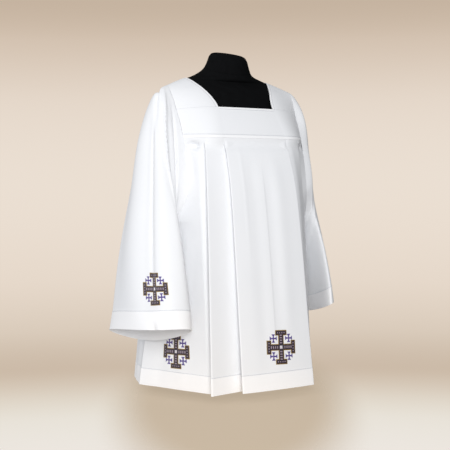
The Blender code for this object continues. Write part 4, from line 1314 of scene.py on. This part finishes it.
# Backdrop colours by the height that the view looks at, as the sine of its angle above the horizon.
# Its darker bands, at the top and just under the horizon, and the brighter ones between are painted light and
# shade on the backdrop.
Sky = namedtuple("Sky", "rise code")
BACKDROP = (
    Sky(-0.26, "EDE7E1"), Sky(-0.225, "E9E4DA"), Sky(-0.205, "DFD5C7"), Sky(-0.187, "D0C0AE"),
    Sky(-0.173, "C8B6A3"), Sky(-0.14, "DACCBC"), Sky(-0.09, "E7D9CB"), Sky(0.0, "ECE1D5"),
    Sky(0.09, "E7DACD"), Sky(0.15, "D2C0AE"), Sky(0.185, "C3B19E"),
)
AMBIENT = 0.34              # strength of the soft light from all round
ONE_SIDED = 0.90            # how much stronger it is from its bright side, and weaker from the other
BRIGHT_SIDE = (-0.86, -0.31, 0.40)
SOFT_EDGE = 0.6             # how far the change between the two reaches, each way


def backdrop():
    """The world: a smooth gradient by height for the camera, and an even soft white light for the rest."""
    world = bpy.data.worlds.new("studio_backdrop")
    bpy.context.scene.world = world
    world.use_nodes = True
    tree = world.node_tree
    tree.nodes.clear()
    direction = add(tree, "ShaderNodeTexCoord").outputs["Generated"]
    rise = add(tree, "ShaderNodeSeparateXYZ", Vector=direction)
    low, high = BACKDROP[0].rise, BACKDROP[-1].rise
    along = add(
        tree, "ShaderNodeMapRange", Value=rise.outputs[2], From_Min=low, From_Max=high, To_Min=0.0, To_Max=1.0
    )
    # The ramp holds the backdrop's painted light and shade.
    ramp = add(tree, "ShaderNodeValToRGB", Fac=along.outputs[0])
    ramp.color_ramp.interpolation = "B_SPLINE"
    stops = ramp.color_ramp.elements
    stops[0].color = linear(BACKDROP[0].code)
    stops[1].color = linear(BACKDROP[-1].code)
    for stop in BACKDROP[1:-1]:
        stops.new((stop.rise - low) / (high - low)).color = linear(stop.code)
    seen = add(tree, "ShaderNodeBackground", Color=ramp.outputs[0], Strength=1.0)
    ahead = add(tree, "ShaderNodeVectorMath", {"operation": "DOT_PRODUCT"}, _0=direction, _1=BRIGHT_SIDE)
    level = add(
        tree, "ShaderNodeMapRange", {"interpolation_type": "SMOOTHSTEP"}, Value=ahead.outputs["Value"],
        From_Min=-SOFT_EDGE, From_Max=SOFT_EDGE,
        To_Min=AMBIENT * (1.0 - ONE_SIDED), To_Max=AMBIENT * (1.0 + ONE_SIDED),
    )
    light = add(tree, "ShaderNodeBackground", Color=linear("FBFCFF"), Strength=level.outputs[0])
    path = add(tree, "ShaderNodeLightPath")
    mixed = add(
        tree, "ShaderNodeMixShader", _0=path.outputs["Is Camera Ray"], _1=light.outputs[0], _2=seen.outputs[0]
    )
    add(tree, "ShaderNodeOutputWorld", Surface=mixed.outputs[0])


def aimed(data, side, rise, back, place):
    """An object of the given light or camera, whose own axes are side, rise and back, at a place."""
    made = bpy.data.objects.new(data.name, data)
    turn = np.eye(4)
    turn[:3] = np.column_stack([side, rise, back, place])
    made.matrix_world = Matrix(turn.tolist())
    bpy.context.collection.objects.link(made)
    return made


Lamp = namedtuple("Lamp", "name place size watts")
LAMPS = (
    Lamp("key_softbox", (-1.5, -3.15, 1.35), 1.5, 66.0),
    Lamp("side_softbox", (-2.7, 1.8, 1.3), 1.4, 16.0),
)
LAMP_AIM = (0.0, 0.0, 0.5)


def softbox(lamp):
    """A square white softbox that faces the middle of the object."""
    data = bpy.data.lights.new(lamp.name, "AREA")
    data.shape = "SQUARE"
    data.size = lamp.size
    data.energy = lamp.watts
    back = np.subtract(lamp.place, LAMP_AIM)
    back /= np.linalg.norm(back)
    side = np.cross((0.0, 0.0, 1.0), back)
    side /= np.linalg.norm(side)
    aimed(data, side, np.cross(back, side), back, lamp.place)


CAMERA_TURN = np.radians(31.3373)       # round to the wearer's right
CAMERA_DOWN = 0.0350                    # radians
CAMERA_ROLL = np.radians(-0.303)
CAMERA_PLACE = (-1.5695, -2.5396, 0.5905)
SENSOR = 36.0
FOCAL_SHARE = 977.4 / 450.0             # focal length in widths of the frame, which makes a 78 mm lens


def camera():
    """The photograph's viewpoint: 31 degrees round to the wearer's right and 2 degrees down."""
    ahead = np.array([np.sin(CAMERA_TURN), np.cos(CAMERA_TURN), 0.0])
    side = np.array([np.cos(CAMERA_TURN), -np.sin(CAMERA_TURN), 0.0])
    level = np.array([0.0, 0.0, 1.0])
    view = ahead * np.cos(CAMERA_DOWN) - level * np.sin(CAMERA_DOWN)
    rise = ahead * np.sin(CAMERA_DOWN) + level * np.cos(CAMERA_DOWN)
    cosine, sine = np.cos(CAMERA_ROLL), np.sin(CAMERA_ROLL)
    data = bpy.data.cameras.new("photo_view")
    data.sensor_width = SENSOR
    data.lens = FOCAL_SHARE * SENSOR
    bpy.context.scene.camera = aimed(
        data, side * cosine + rise * sine, rise * cosine - side * sine, -view, CAMERA_PLACE
    )


floor()
backdrop()
for lamp in LAMPS:
    softbox(lamp)
camera()
bpy.context.scene.view_settings.view_transform = "Standard"
